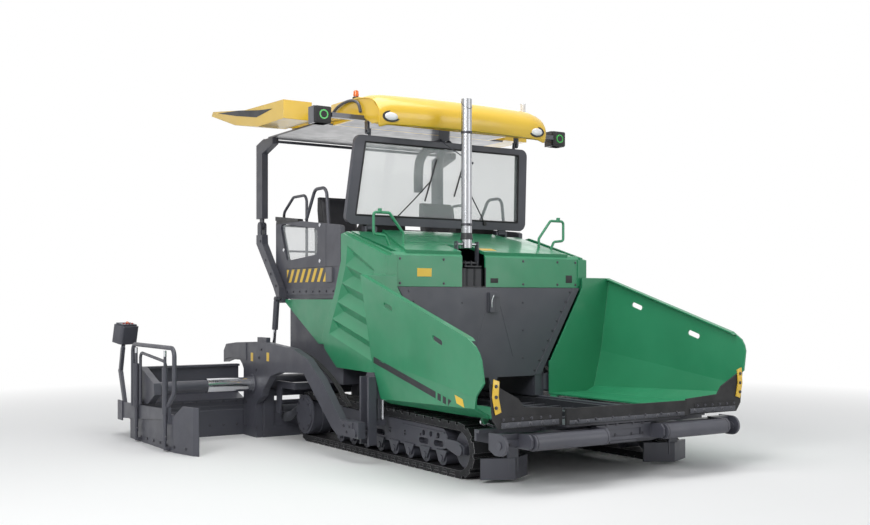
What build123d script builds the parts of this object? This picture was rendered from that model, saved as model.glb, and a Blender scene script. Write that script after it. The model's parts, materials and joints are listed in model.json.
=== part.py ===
from build123d import *
import os
from math import atan2, cos, degrees, hypot, pi, radians, sin

# Tracked asphalt paver with an extending screed, millimetres.
# +X forward to the push rollers, +Y to the machine's left, +Z up; the origin is on the
# ground under the middle of the machine. Sides are built on +Y and mirrored to -Y.

os.makedirs("parts", exist_ok=True)

# ---- driving dimensions ----
length = 6100.0               # push rollers to the ends of the tow arms
front_x = length / 2
hopper_front_x = front_x - 200
wing_rear_x = 830.0
bulkhead_x = 790.0
hood_rear_x = -250.0
platform_front_x = -300.0
platform_rear_x = -2000.0
tank_rear_x = -1650.0
deck_z = 1770.0

track_width = 305.0
track_y = 1122.5              # centre plane of each track
idler_x, idler_r = 2030.0, 255.0
sprocket_x, sprocket_r = -1060.0, 285.0
shoe_count = 56
track_roller_pitch = 290.0
shoe_height = 22.0
belt_depth = 52.0

hull_half = 700.0             # half width of the conveyor hull
hull_floor_z = 420.0
hull_rear_x = -1080.0
trough_half = 620.0
hinge_y, hinge_z = 720.0, 550.0   # folding axis of the hopper wings
ram_foot_y, ram_foot_z = 770.0, 360.0
ram_eye_y, ram_eye_z = 1210.0, 540.0
ram_x = 2335.0

wing_top_y = 1632.0
wing_top_rear_z, wing_top_front_z = 1880.0, 1255.0

roller_x, roller_z, roller_r = front_x - 70.0, 420.0, 70.0
beam_pivot_x = 2770.0

auger_x, auger_z, auger_r = -1515.0, 350.0, 150.0

tow_x, tow_z = 725.0, 300.0   # tow pin, the screed's lifting axis
jack_top_x, jack_top_z = -1700.0, 1640.0
jack_eye_x, jack_eye_z = -1800.0, 960.0
jack_y = 1375.0
arm_inner_y, arm_outer_y = 1560.0, 1640.0
base_front_x, base_rear_x = -1690.0, -2080.0
ext_front_x, ext_step_x, ext_rear_x = -2095.0, -2290.0, -2560.0
ext_inner_y, ext_outer_y = 1620.0, 2870.0
tube_x, tube_z = -1820.0, 630.0
mid_tube_r, end_tube_r, collar_r = 84.0, 66.0, 118.0

post_x, post_z = -2300.0, 2550.0      # lower pivots of the folding canopy
screen_x, screen_z = -270.0, 2425.0
link_x, link_z = 140.0, 1050.0        # each canopy link, lower to upper pivot
post_inner_y, post_outer_y = 1262.0, 1342.0

exhaust_x, exhaust_y, exhaust_z = 650.0, -235.0, 2225.0
exhaust_top_z = 3780.0
stay_pipe_z = 3100.0          # ear on the pipe
stay_roof_x, stay_roof_z = 0.0, 3430.0
stay_y = exhaust_y + 72.0     # the stay passes beside the pipe


def plate(points, y0, y1):
    """Adds a plate with an XZ outline between two Y planes."""
    with BuildSketch(Plane.XZ.offset(-y0)) as outline:
        with BuildLine():
            Polyline(*points, close=True)
        make_face()
    extrude(outline.sketch, amount=-(y1 - y0))


def section(points, x0, x1):
    """Adds a bar with a YZ outline between two X planes."""
    with BuildSketch(Plane.YZ.offset(x0)) as outline:
        with BuildLine():
            Polyline(*points, close=True)
        make_face()
    extrude(outline.sketch, amount=x1 - x0)


def block(x0, x1, y0, y1, z0, z1, mode=Mode.ADD):
    """Adds or cuts a box between limits."""
    with Locations(((x0 + x1) / 2, (y0 + y1) / 2, (z0 + z1) / 2)):
        Box(abs(x1 - x0), abs(y1 - y0), abs(z1 - z0), mode=mode)


def rod_y(x, z, radius, y0, y1, mode=Mode.ADD):
    """Adds or cuts a cylinder along Y."""
    with Locations(Location((x, (y0 + y1) / 2, z), (90, 0, 0))):
        Cylinder(radius, abs(y1 - y0), mode=mode)


def rod_between(start, end, radius, mode=Mode.ADD):
    """Adds or cuts a cylinder between two points."""
    start, end = Vector(*start), Vector(*end)
    run = end - start
    plane = Plane(origin=start, z_dir=run.normalized())
    with BuildSketch(plane) as round_end:
        Circle(radius)
    extrude(round_end.sketch, amount=run.length, mode=mode)


def bent_tube(points, bend, radius):
    """Adds a round tube along straight runs joined by arcs."""
    with BuildLine() as path:
        FilletPolyline(*points, radius=bend)
    with BuildSketch(path.line ^ 0) as round_end:
        Circle(radius)
    sweep(round_end.sketch, path=path.line)


# ---- undercarriage: track frames, rollers, sprockets and cross beams ----
with BuildPart() as undercarriage:
    frame_in, frame_out = track_y - 110, track_y + 120
    plate([(-560, 215), (-560, 400), (-380, 468), (300, 456), (1450, 435), (1740, 424), (1800, 360), (1800, 250),
           (1640, 205), (-420, 205)], frame_in, frame_out)
    plate([(1000, 405), (1760, 392), (1760, 380), (1000, 393)], frame_out - 1, frame_out + 14)
    # lightening holes and slots in the outer side plate
    for hole_x in (1385, 1512, 1642):
        rod_y(hole_x, 350, 27, frame_out - 60, frame_out + 1, mode=Mode.SUBTRACT)
    for slot_x in (-120, 560, 1385, 1650):
        with BuildSketch(Plane.XZ.offset(-(frame_out + 1))):
            with Locations((slot_x, 275)):
                SlotOverall(170, 56)
        extrude(amount=60, mode=Mode.SUBTRACT)
    for number in range(8):
        roller_at = -310 + number * track_roller_pitch
        rod_y(roller_at, 147, 70, track_y - 120, track_y + 120)
        rod_y(roller_at, 147, 34, track_y + 119, track_y + 150)
        plate([(roller_at - 95, 225), (roller_at + 95, 225), (roller_at + 38, 118), (roller_at - 38, 118)],
              track_y + 122, track_y + 140)
        block(roller_at - 95, roller_at + 95, frame_out - 1, track_y + 140, 211, 225)
    # final drives with their covers
    rod_y(sprocket_x, sprocket_r, sprocket_r - belt_depth - shoe_height - 5, track_y - 60, track_y + 60)
    rod_y(sprocket_x, sprocket_r, 195, track_y + 59, track_y + 165)
    rod_y(sprocket_x - 15, sprocket_r + 30, 222, track_y + 162, track_y + 186)
    rod_y(sprocket_x - 15, sprocket_r + 30, 190, track_y + 186, track_y + 200)
    plate([(sprocket_x - 60, 215), (sprocket_x - 60, 375), (-500, 375), (-500, 255)], track_y - 90, track_y - 58)
    block(-560, -500, track_y - 110, track_y - 58, 255, 375)
    # idlers in their yokes
    rod_y(idler_x, idler_r, idler_r - belt_depth - shoe_height - 5, track_y - 60, track_y + 60)
    for yoke_in, yoke_out in ((track_y + 58, track_y + 95), (track_y - 95, track_y - 58)):
        plate([(1750, 225), (1750, 345), (2080, 300), (2080, 210)], yoke_in, yoke_out)
    plate([(1780, 250), (1780, 335), (1980, 330), (2090, 290), (2090, 220), (1980, 195)],
          track_y + 94, track_y + 128)
    rod_y(idler_x, idler_r, 48, track_y + 90, track_y + 150)
    mirror(about=Plane.XZ)
    for beam_x in (-150, 1350):
        block(beam_x - 110, beam_x + 110, -frame_in - 20, frame_in + 20, 290, hull_floor_z)


# ---- tracks: one closed belt each, with its shoes ----
with BuildPart() as track_left:
    with BuildSketch(Plane.XZ.offset(-(track_y + track_width / 2))) as belt:
        with Locations((idler_x, idler_r)):
            Circle(idler_r - shoe_height)
        with Locations((sprocket_x, sprocket_r)):
            Circle(sprocket_r - shoe_height)
        make_hull()
        rim = belt.sketch_local.faces()[0].outer_wire()
        for number in range(shoe_count):
            at = rim.position_at(number / shoe_count)
            along = rim.tangent_at(number / shoe_count)
            with Locations(Location((at.X, at.Y), degrees(atan2(along.Y, along.X)))):
                Rectangle(104, 2 * shoe_height)
        with BuildSketch(mode=Mode.SUBTRACT):
            with Locations((idler_x, idler_r)):
                Circle(idler_r - shoe_height - belt_depth)
            with Locations((sprocket_x, sprocket_r)):
                Circle(sprocket_r - shoe_height - belt_depth)
            make_hull()
    extrude(amount=track_width)
    block(sprocket_x - 400, idler_x + 400, track_y - 200, track_y + 200, -20, 0, mode=Mode.SUBTRACT)


# ---- main frame: conveyor hull, engine bed, tank body, front cross beam ----
with BuildPart() as main_frame:
    block(hull_rear_x, 2450, -hull_half, hull_half, hull_floor_z, 575)
    block(platform_front_x, bulkhead_x, -hull_half, hull_half, 575, 900)
    block(platform_front_x, bulkhead_x, -1150, 1150, 900, 960)
    plate([(tank_rear_x, 1640), (platform_front_x, 1640), (platform_front_x, 700), (-900, 700), (-1420, 830),
           (tank_rear_x, 1050)], -1220, 1220)
    block(hull_rear_x, platform_front_x, -hull_half, hull_half, 575, 710)
    block(-1700, bulkhead_x + 1, -560, 560, hull_floor_z + 30, 860, mode=Mode.SUBTRACT)
    block(hull_rear_x - 1, 2451, -trough_half, trough_half, hull_floor_z + 30, 576, mode=Mode.SUBTRACT)
    # engine under the hood
    block(-150, 600, -420, 420, 960, 1650)
    block(590, 700, exhaust_y - 150, exhaust_y + 150, 1620, 1650)
    # chain case of the augers
    block(auger_x - 60, hull_rear_x + 20, -95, 95, auger_z - 100, 445)
    # front cross beam, tapered towards its ends, and the fixed front plate of the hopper
    section([(-1390, 500), (1390, 500), (1390, 400), (1050, 320), (690, 262), (-690, 262), (-1050, 320),
             (-1390, 400)], 2450, 2480)
    section([(-1390, 500), (1390, 500), (1390, 470), (-1390, 470)], 2450, 2520)
    block(2450, 2560, -690, 690, 300, 500)
    block(2450, hopper_front_x + 12, -690, 690, 510, 530)
    block(2450, 2520, -690, 690, 500, 510)
    block(hopper_front_x, hopper_front_x + 12, -690, 690, 510, 640)
    # clevis and pin of the push beam
    block(2520, 2830, -160, 160, 330, 350)
    with Locations((beam_pivot_x, 0, 430)):
        Cylinder(30, 170)
    for side in (-1, 1):
        # beams over the tracks to the guide posts of the tow points
        block(tow_x - 80, tow_x + 80, side * 690, side * 1442, 640, 820)
        plate([(tow_x - 95, 180), (tow_x - 95, 860), (tow_x - 60, 900), (tow_x + 60, 900), (tow_x + 95, 860),
               (tow_x + 95, 180)], side * 1450 - 10, side * 1450 + 10)
        for rail_x in (tow_x - 95, tow_x + 65):
            block(rail_x, rail_x + 30, side * 1458, side * 1530, 180, 860)
        # levelling cylinder behind each guide post
        for ram_at in (tow_x + 22, tow_x + 56):
            rod_between((ram_at, side * 1345, 425), (ram_at, side * 1345, 641), 11)
        rod_between((tow_x + 39, side * 1390, 425), (tow_x + 39, side * 1390, 641), 30)
        block(tow_x, tow_x + 78, side * 1325, side * 1442, 375, 428)
        # auger hangers: a bracket over the track to each outer bearing
        block(hull_rear_x - 100, hull_rear_x + 20, side * 640, side * 1440, 600, 680)
        block(auger_x - 50, hull_rear_x + 20, side * 1420, side * 1440, 600, 680)
        plate([(auger_x - 50, auger_z - 50), (auger_x - 50, 680), (auger_x + 90, 680), (auger_x + 50, auger_z - 50)],
              side * 1430 - 10, side * 1430 + 10)
        rod_y(auger_x, auger_z, 25, side * 95, side * 160)
        rod_y(auger_x, auger_z, 25, side * 1350, side * 1421)
        # ears of the exhaust pivot
        ear_y = exhaust_y + side * 134
        block(exhaust_x - 30, exhaust_x + 30, ear_y - 7, ear_y + 7, 1640, exhaust_z + 30)
        rod_y(exhaust_x, exhaust_z, 14.2, ear_y - 8, ear_y + 8, mode=Mode.SUBTRACT)
        # hinge lugs and pins of the hopper wings
        for lug_x in (850, 2260):
            for pair in (0, 132):
                block(lug_x + pair, lug_x + pair + 14, side * 695, side * 736, 532, 568)
            rod_between((lug_x, side * hinge_y, hinge_z), (lug_x + 146, side * hinge_y, hinge_z), 8)
        # feet of the hopper cylinders
        for lug_x in (2286, 2372):
            block(lug_x, lug_x + 12, side * 690, side * 795, 330, 420)
        rod_between((2286, side * ram_foot_y, ram_foot_z), (2384, side * ram_foot_y, ram_foot_z), 12)
        # track deflector, a wedge in front of the track on a hanger
        with BuildSketch(Plane.XY.offset(30)) as wedge:
            with BuildLine():
                Polyline((2310, side * 740), (2455, side * 985), (2340, side * 1250), (2372, side * 1268),
                         (2505, side * 985), (2345, side * 722), close=True)
            make_face()
        extrude(wedge.sketch, amount=190)
        block(2450, 2480, side * 930, side * 1040, 100, 400)


# ---- bulkhead behind the hopper, with bolted side strips and a hatch ----
with BuildPart() as bulkhead:
    section([(-1195, 1762), (1195, 1762), (640, 800), (640, 580), (565, 580), (565, 800), (-565, 800),
             (-565, 580), (-640, 580), (-640, 800)], bulkhead_x, bulkhead_x + 22)
    section([(-60, 800), (60, 800), (0, 620)], bulkhead_x, bulkhead_x + 22)
    for side in (-1, 1):
        section([(side * 1188, 1755), (side * 1100, 1755), (side * 560, 812), (side * 640, 805)],
                bulkhead_x + 21, bulkhead_x + 30)
    # hatch seams and the latch housing above it
    for side in (-1, 1):
        rod_between((bulkhead_x + 22, side * 92, 1560), (bulkhead_x + 22, side * 262, 1010), 3, mode=Mode.SUBTRACT)
    section([(-70, 1490), (62, 1490), (78, 1530), (78, 1690), (50, 1718), (-70, 1718)], bulkhead_x + 21, bulkhead_x + 26)
    block(bulkhead_x + 25, bulkhead_x + 58, -66, -8, 1495, 1708)
    block(bulkhead_x + 25, bulkhead_x + 40, 0, 62, 1660, 1708)


# ---- conveyor: floor plate, chain covers and slat bars ----
with BuildPart() as conveyor:
    block(hull_rear_x + 10, 2440, -610, 610, hull_floor_z + 30, 470)
    for bar in range(16):
        bar_x = -1020 + bar * 225
        block(bar_x - 20, bar_x + 20, -560, 560, 470, 505)
    block(hull_rear_x + 10, 2440, -45, 45, 470, 545)
    for side in (-1, 1):
        block(hull_rear_x + 10, 2440, side * 560, side * 610, 470, 560)


# ---- hood with the exhaust slot, louvres and grab handles ----
slope_run = Vector(755 - hood_rear_x, 0, 2120 - 2385).normalized()
slope_plane = Plane(origin=(hood_rear_x, 0, 2385), x_dir=slope_run, z_dir=slope_run.cross(Vector(0, 1, 0)))
with BuildPart() as hood:
    plate([(bulkhead_x, 1766), (bulkhead_x, 2085), (755, 2120), (hood_rear_x, 2385), (hood_rear_x, 1766)],
          -1150, 1150)
    plate([(bulkhead_x, 1766), (bulkhead_x, 2085), (755, 2120), (740, 2124), (740, 1766)], -1220, 1220)
    # raised centre panel, widening to the front
    with BuildSketch(slope_plane.offset(-6)) as raised:
        with BuildLine():
            Polyline((0, -760), (0, 760), (1050, 1067), (1050, -1067), close=True)
        make_face()
    extrude(raised.sketch, amount=32)
    with BuildSketch(Plane.XZ.offset(1120)):
        with BuildLine():
            Polyline((bulkhead_x - 25, 1765), (bulkhead_x - 25, 2070), (745, 2094), (hood_rear_x + 25, 2352),
                     (hood_rear_x + 25, 1765), close=True)
        make_face()
    extrude(amount=-2240, mode=Mode.SUBTRACT)
    # exhaust slot, open to the front
    block(470, bulkhead_x + 1, exhaust_y - 150, exhaust_y + 150, 1966, 2300, mode=Mode.SUBTRACT)
    block(740, bulkhead_x + 1, exhaust_y - 150, exhaust_y + 150, 1772, 2300, mode=Mode.SUBTRACT)
    # folded shield in the slot
    shield_y = exhaust_y - 150
    with BuildSketch(Plane.XY.offset(1767)) as creases:
        with BuildLine():
            Polyline((734, shield_y), (744, shield_y), (775, shield_y + 50), (744, shield_y + 100),
                     (775, shield_y + 150), (744, shield_y + 200), (775, shield_y + 250), (744, shield_y + 300),
                     (734, shield_y + 300), close=True)
        make_face()
    extrude(creases.sketch, amount=195)
    # louvres right of the slot
    for louvre_x, near_y, far_y in ((-150, -600, 420), (-30, -640, -150), (90, -680, -220), (205, -720, -290),
                                    (320, -755, -290), (430, -790, -290)):
        block(louvre_x, louvre_x + 26, near_y, far_y, 2150, 2450, mode=Mode.SUBTRACT)
    for side in (-1, 1):
        y = side
        bent_tube([(450, y * 905, 2180), (450, y * 905, 2330), (450, y * 1075, 2540), (450, y * 1265, 2540),
                   (450, y * 1265, 2315), (450, y * 1125, 2300), (450, y * 1065, 2180)], 34, 15)
        with Locations((450, y * 1190, 2560)):
            Cylinder(22, 40)


# ---- side cowls with pressed ribs ----
rib_out, rib_in = 1315.0, 1262.0      # crest and root of the ribs
rib_run = Vector(1, 0, -0.27)
rib_front_x = 600.0
crest_starts = [(-32, 2216), (-67, 2003), (-154, 1815), (-260, 1612), (-376, 1423), (-458, 1256)]
root_starts = [(44, 2098), (7, 1886), (-110, 1703), (-215, 1504), (-322, 1323)]
with BuildPart() as cowl_left:
    plate([(800, 2105), (800, 905), (450, 880), (-250, 895), (-290, 1000), (-290, 2350), (-150, 2372)], 1225, 1256)
    plate([(800, 2080), (800, 905), (450, 880), (-280, 895), (-560, 1085), (-634, 1209), (-331, 1696), (-180, 2044),
           (-118, 2345)], 1255, rib_out)
    for number, (root_x, root_z) in enumerate(root_starts):
        start = [Vector(crest_starts[number][0], rib_out + 1, crest_starts[number][1]), Vector(root_x, rib_in, root_z),
                 Vector(crest_starts[number + 1][0], rib_out + 1, crest_starts[number + 1][1])]
        if number == 0:
            # the top rib narrows towards a point ahead of the cowl
            apex = Vector(1266, rib_out + 1, 1608.4)
            finish = [apex + (corner - apex) * 0.55 for corner in start]
        else:
            finish = [corner + rib_run * (rib_front_x - corner.X) for corner in start]
        groove = Solid.make_loft([Wire.make_polygon(start, close=True), Wire.make_polygon(finish, close=True)], True)
        add(groove, mode=Mode.SUBTRACT)
    # front return and the joint to the hood
    block(bulkhead_x, 800, 1190, 1226, 1790, 2085)
    # panel behind, under the deck
    plate([(-1640, 1636), (-1640, 1600), (-760, 1135), (-655, 1135), (-362, 1636)], 1262, 1290)
    plate([(-700, 1500), (-480, 1636), (-300, 1636), (-420, 1300), (-640, 1180)], 1254, 1263)


# ---- platform: deck, side panels with windows, fixed post feet, handrails ----
with BuildPart() as platform:
    block(platform_rear_x, platform_front_x - 5, -1250, 1250, 1642, deck_z)
    plate([(platform_front_x - 10, deck_z), (platform_front_x - 10, 2440), (platform_front_x - 60, 2458),
           (-1375, 2562), (platform_rear_x + 20, 2630), (platform_rear_x, 2560), (platform_rear_x, deck_z)], 1195, 1250)
    plate([(-1360, 2552), (-1375, 2586), (platform_rear_x, 2650), (platform_rear_x, 2600)], 1188, 1258)
    with BuildSketch(Plane.XZ.offset(-1251)) as window:
        with BuildLine():
            Polyline((-870, 2150), (-870, 2440), (-1890, 2560), (-1690, 2100), close=True)
        make_face()
        fillet(window.vertices(), 55)
    extrude(window.sketch, amount=60, mode=Mode.SUBTRACT)
    # seams of the door and of the narrow front panel
    block(-662, -652, 1244, 1251, 2000, 2480, mode=Mode.SUBTRACT)
    block(-1700, platform_front_x - 60, 1244, 1251, 1996, 2004, mode=Mode.SUBTRACT)
    block(-625, -478, 1249, 1272, 1830, 1992)
    block(-1690, -420, 1249, 1260, 1690, 1765)
    plate([(-1700, 1655), (-1780, 1655), (-1890, 1800), (-2385, 2330), (-2385, 2440), (-2215, 2440),
           (-2205, 2330), (-1720, 1790)], post_inner_y, post_outer_y)
    for lug_y in (post_inner_y, post_outer_y - 20):
        block(post_x - 50, post_x + 50, lug_y, lug_y + 20, 2430, post_z)
        rod_y(post_x, post_z, 50, lug_y, lug_y + 20)
    rod_y(post_x, post_z, 18, post_inner_y, post_outer_y)
    block(-1900, -1700, 1249, post_inner_y + 1, 1655, 1760)
    block(jack_top_x - 45, jack_top_x + 45, 1245, 1330, jack_top_z - 45, jack_top_z + 12)
    rod_y(jack_top_x, jack_top_z, 14, 1329, 1405)
    for lug_y in (820, 950):
        block(screen_x - 60, screen_x + 16, lug_y, lug_y + 25, 2340, screen_z + 20)
    rod_y(screen_x, screen_z, 12, 821, 974)
    # handrails
    bent_tube([(-1215, 1222, 2560), (-985, 1222, 2900), (-700, 1222, 2900), (-640, 1222, 2460)], 110, 19)
    bent_tube([(-1960, 1160, deck_z), (-1960, 1160, 2700), (-1690, 1160, 2868), (-1330, 1160, 2868),
               (-1330, 1160, deck_z)], 90, 17)
    mirror(about=Plane.XZ)
    block(platform_front_x - 35, platform_front_x - 10, -1195, 1195, deck_z, 2380)
    # rear guard rail between the posts
    for rail_z in (2230, 2540):
        rod_y(platform_rear_x + 40, rail_z, 13, -1165, 1165)


# ---- operator's console and seats ----
with BuildPart() as operator_console:
    block(-560, -400, -1000, 1000, 2250, 2330)
    plate([(-400, deck_z), (-400, 2250), (-520, 2250), (-470, deck_z)], -60, 60)
    for side in (-1, 1):
        plate([(-420, 2330), (-640, 2300), (-660, 2380), (-430, 2560)], side * 625 - 275, side * 625 + 275)
        plate([(-655, 2375), (-670, 2440), (-560, 2520), (-540, 2470)], side * 625 - 120, side * 625 + 120)
        for leg_y in (side * 990, side * 270):
            plate([(-400, deck_z), (-400, 2260), (-440, 2260), (-440, deck_z)], leg_y - 12, leg_y + 12)

with BuildPart() as seats:
    block(-1300, -1000, -1050, 1050, deck_z, 1850)
    for side in (-1, 1):
        middle = side * 720
        block(-1280, -1060, middle - 110, middle + 110, 1850, 2120)
        plate([(-1400, 2110), (-1400, 2240), (-1330, 2225), (-960, 2245), (-900, 2215), (-905, 2160), (-960, 2110)],
              middle - 245, middle + 245)
        plate([(-1400, 2230), (-1290, 2230), (-1370, 2700), (-1425, 2860), (-1475, 2855), (-1480, 2700)],
              middle - 225, middle + 225)
        for arm_y in (middle - 285, middle + 285):
            block(-1370, -1330, arm_y - 30, arm_y + 30, 2150, 2440)
            block(-1380, -1010, arm_y - 32, arm_y + 32, 2430, 2478)
            low, high = sorted((arm_y, middle + (arm_y - middle) * 0.75))
            block(-1365, -1335, low, high, 2150, 2190)


# ---- hopper wings with rubber aprons ----
apron_x = hopper_front_x + 12

with BuildPart() as hopper_wing_left:
    # outer form: a box trimmed by the wall planes, then shelled
    block(wing_rear_x, apron_x, 742, 1700, 588, 1900)
    top_run = Vector(apron_x - wing_rear_x, 0, wing_top_front_z - wing_top_rear_z)
    crease_run = Vector(apron_x - wing_rear_x, 51, -280)
    top_rear = Vector(wing_rear_x, wing_top_y, wing_top_rear_z)
    crease_rear = Vector(wing_rear_x, 1508, 1055)
    tuck_rear = Vector(wing_rear_x, 1400, 640)
    floor_rear = Vector(wing_rear_x, 1290, 588)
    for on_plane, outward in (
        (top_rear, Vector(0, 1, 0).cross(top_run) * -1),
        (top_rear, (crease_rear - top_rear).cross(top_run) * -1),
        (crease_rear, (tuck_rear - crease_rear).cross(crease_run) * -1),
        (tuck_rear, (floor_rear - tuck_rear).cross(Vector(1, 0, 0)) * -1),
    ):
        split(bisect_by=Plane(origin=on_plane, z_dir=outward.normalized()), keep=Keep.BOTTOM)
    open_faces = (
        hopper_wing_left.faces().sort_by(Axis.Z)[-1:]
        + hopper_wing_left.faces().sort_by(Axis.Y)[:1]
        + hopper_wing_left.faces().sort_by(Axis.X)[-1:]
    )
    offset(amount=-16, openings=open_faces)
    # lip along the top edge, and the sloping inner edge of the rear wall
    plate([(wing_rear_x, wing_top_rear_z), (apron_x, wing_top_front_z), (apron_x, wing_top_front_z - 16),
           (wing_rear_x, wing_top_rear_z - 16)], wing_top_y - 62, wing_top_y - 6)
    with BuildSketch(Plane.YZ.offset(wing_rear_x - 1)) as inner_edge:
        with BuildLine():
            Polyline((700, 960), (760, 960), (1215, 1760), (1215, 1900), (700, 1900), close=True)
        make_face()
    extrude(inner_edge.sketch, amount=30, mode=Mode.SUBTRACT)
    # hinge knuckles
    for knuckle_x in (870, 2280):
        section([(hinge_y - 9, hinge_z + 12), (hinge_y + 12, hinge_z - 6), (800, 588), (745, 588)],
                knuckle_x, knuckle_x + 106)
        rod_between((knuckle_x, hinge_y, hinge_z), (knuckle_x + 106, hinge_y, hinge_z), 15)
        rod_between((knuckle_x - 1, hinge_y, hinge_z), (knuckle_x + 107, hinge_y, hinge_z), 8.6, mode=Mode.SUBTRACT)
    # cylinder lug and pin under the floor
    section([(ram_eye_y - 50, 590), (ram_eye_y + 50, 590), (ram_eye_y + 14, ram_eye_z - 16),
             (ram_eye_y - 14, ram_eye_z - 16)], ram_x + 20, ram_x + 34)
    rod_between((ram_x - 12, ram_eye_y, ram_eye_z), (ram_x + 24, ram_eye_y, ram_eye_z), 10)
    # lashing slots below the lip of the side wall
    for slot_x, slot_z in ((1330, 1560), (2180, 1270)):
        with BuildSketch(Plane(origin=(slot_x, 1500, slot_z), x_dir=(0.954, 0, -0.3), z_dir=(0, -1, 0))) as lashing:
            SlotOverall(170, 52)
        extrude(lashing.sketch, amount=-200, mode=Mode.SUBTRACT)
    # rounded front corner and the tuck below it
    with BuildSketch(Plane.XZ) as corner:
        with BuildLine():
            Polyline((2680, 1400), (2690, 1305), (2800, 1235), (2840, 1180), (2863, 1120), (3000, 1120), (3000, 1400), close=True)
        make_face()
    extrude(corner.sketch, amount=-2000, mode=Mode.SUBTRACT)
    with BuildSketch(Plane.XZ.offset(-1330)) as tuck:
        with BuildLine():
            Polyline((2863, 930), (2720, 815), (2560, 560), (3100, 560), (3100, 930), close=True)
        make_face()
    extrude(tuck.sketch, amount=-400, mode=Mode.SUBTRACT)

with BuildPart() as hopper_apron_left:
    section([(760, 540), (1440, 540), (1500, 620), (1530, 925), (1505, 925), (1235, 790), (1180, 715), (760, 690)],
            apron_x, apron_x + 22)
    section([(860, 640), (1420, 640), (1420, 600), (860, 600)], apron_x + 21, apron_x + 27)

with BuildPart() as apron_centre:
    block(apron_x + 28, apron_x + 50, -735, 735, 535, 680)
    block(apron_x, apron_x + 29, -560, 560, 535, 600)


# ---- hopper cylinders, across the machine in front of the tracks ----
ram_foot = Vector(ram_x, ram_foot_y, ram_foot_z)
ram_eye = Vector(ram_x, ram_eye_y, ram_eye_z)
ram_length = (ram_eye - ram_foot).length
ram_dir = (ram_eye - ram_foot).normalized()

with BuildPart() as hopper_barrel_left:
    rod_between(ram_foot + ram_dir * 20, ram_foot + ram_dir * 330, 34)
    rod_between(ram_foot - Vector(30, 0, 0), ram_foot + Vector(30, 0, 0), 30)
    rod_between(ram_foot - Vector(31, 0, 0), ram_foot + Vector(31, 0, 0), 12.1, mode=Mode.SUBTRACT)
    rod_between(ram_foot + ram_dir * 50, ram_foot + ram_dir * 331, 20, mode=Mode.SUBTRACT)

with BuildPart() as hopper_rod_left:
    rod_between(ram_foot + ram_dir * 60, ram_foot + ram_dir * (ram_length - 26), 17)
    rod_between(ram_eye - Vector(9, 0, 0), ram_eye + Vector(9, 0, 0), 34)
    rod_between(ram_eye - Vector(10, 0, 0), ram_eye + Vector(10, 0, 0), 20, mode=Mode.SUBTRACT)


# ---- push beam with two rollers ----
with BuildPart() as push_beam:
    block(2720, 2850, -340, 340, 355, 500)
    block(2835, 2851, -200, 200, 390, 455, mode=Mode.SUBTRACT)
    block(2700, 2790, -1400, 1400, 375, 475)
    rod_between((beam_pivot_x, 0, 340), (beam_pivot_x, 0, 505), 30.1, mode=Mode.SUBTRACT)
    for side in (-1, 1):
        for ear_y in (335, 1190):
            plate([(2760, 360), (2760, 490), (roller_x, 490), (roller_x + 40, 450), (roller_x + 40, 390),
                   (roller_x, 360)], side * ear_y - 12, side * ear_y + 12)
        block(2740, 2830, side * 1190, side * 1400, 370, 490)
        # round-eared end brackets
        plate([(2700, 350), (2700, 495), (2860, 495), (2860, 310), (2790, 310)], side * 1405 - 12, side * 1405 + 12)
        rod_y(2860, 402, 92, side * 1393, side * 1417)
        rod_y(2860, 402, 34, side * 1380, side * 1430)
        block(2820, 2852, side * 1190, side * 1400, 385, 440)

with BuildPart() as push_roller_left:
    rod_y(roller_x, roller_z, roller_r, 355, 1170)
    for groove_y in (372, 1146):
        rod_y(roller_x, roller_z, roller_r + 1, groove_y, groove_y + 7, mode=Mode.SUBTRACT)
        rod_y(roller_x, roller_z, roller_r - 6, groove_y - 1, groove_y + 8)


# ---- augers ----
with BuildPart() as auger_left:
    rod_y(auger_x, auger_z, 45, 110, 1405)
    blade = 26.0
    with BuildSketch(Plane.XZ.offset(-140)) as flight_section:
        with BuildLine():
            Polyline((0, 0), (auger_r, -auger_r * sin(radians(blade / 2))), (auger_r, auger_r * sin(radians(blade / 2))), close=True)
        make_face()
    flight = Solid.extrude_linear_with_rotation(
        flight_section.sketch.faces()[0], center=(0, 140, 0), normal=(0, 1220, 0), angle=1200)
    add(flight.moved(Location((auger_x, 0, auger_z))))
    for bore_y in (109, 1345):
        rod_y(auger_x, auger_z, 25.3, bore_y, bore_y + 61, mode=Mode.SUBTRACT)


# ---- screed: base unit, tow arms ----
with BuildPart() as screed_base:
    plate([(base_front_x, 0), (base_front_x, 400), (base_front_x - 40, 430), (base_front_x - 50, 540),
           (base_rear_x, 540), (base_rear_x, 0)], -arm_inner_y, arm_inner_y)
    block(base_front_x - 40, base_rear_x - 1, -arm_inner_y + 40, arm_inner_y - 40, 80, 480, mode=Mode.SUBTRACT)
    plate([(base_front_x + 14, 0), (base_front_x + 14, 120), (base_front_x - 1, 150), (base_front_x - 1, 0)],
          -arm_inner_y, arm_inner_y)
    for rib_y in (-1120, -760, 760, 1120):
        block(base_front_x - 20, base_front_x + 12, rib_y - 8, rib_y + 8, 100, 400)
    rod_y(tube_x, tube_z, 105, -arm_inner_y - 5, arm_inner_y + 5)
    for side in (-1, 1):
        rod_y(tube_x, tube_z, collar_r, side * (arm_inner_y - 30), side * (arm_outer_y + 14))
        rod_y(tube_x, tube_z, mid_tube_r + 1, side * 290, side * (arm_outer_y + 15), mode=Mode.SUBTRACT)
        # hinged limit plates in front of the base unit
        block(base_front_x + 2, base_front_x + 14, side * 1420, side * (arm_inner_y - 12), 30, 560)
        rod_between((base_front_x, side * 1470, 60), (base_front_x, side * 1470, 540), 14)

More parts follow.
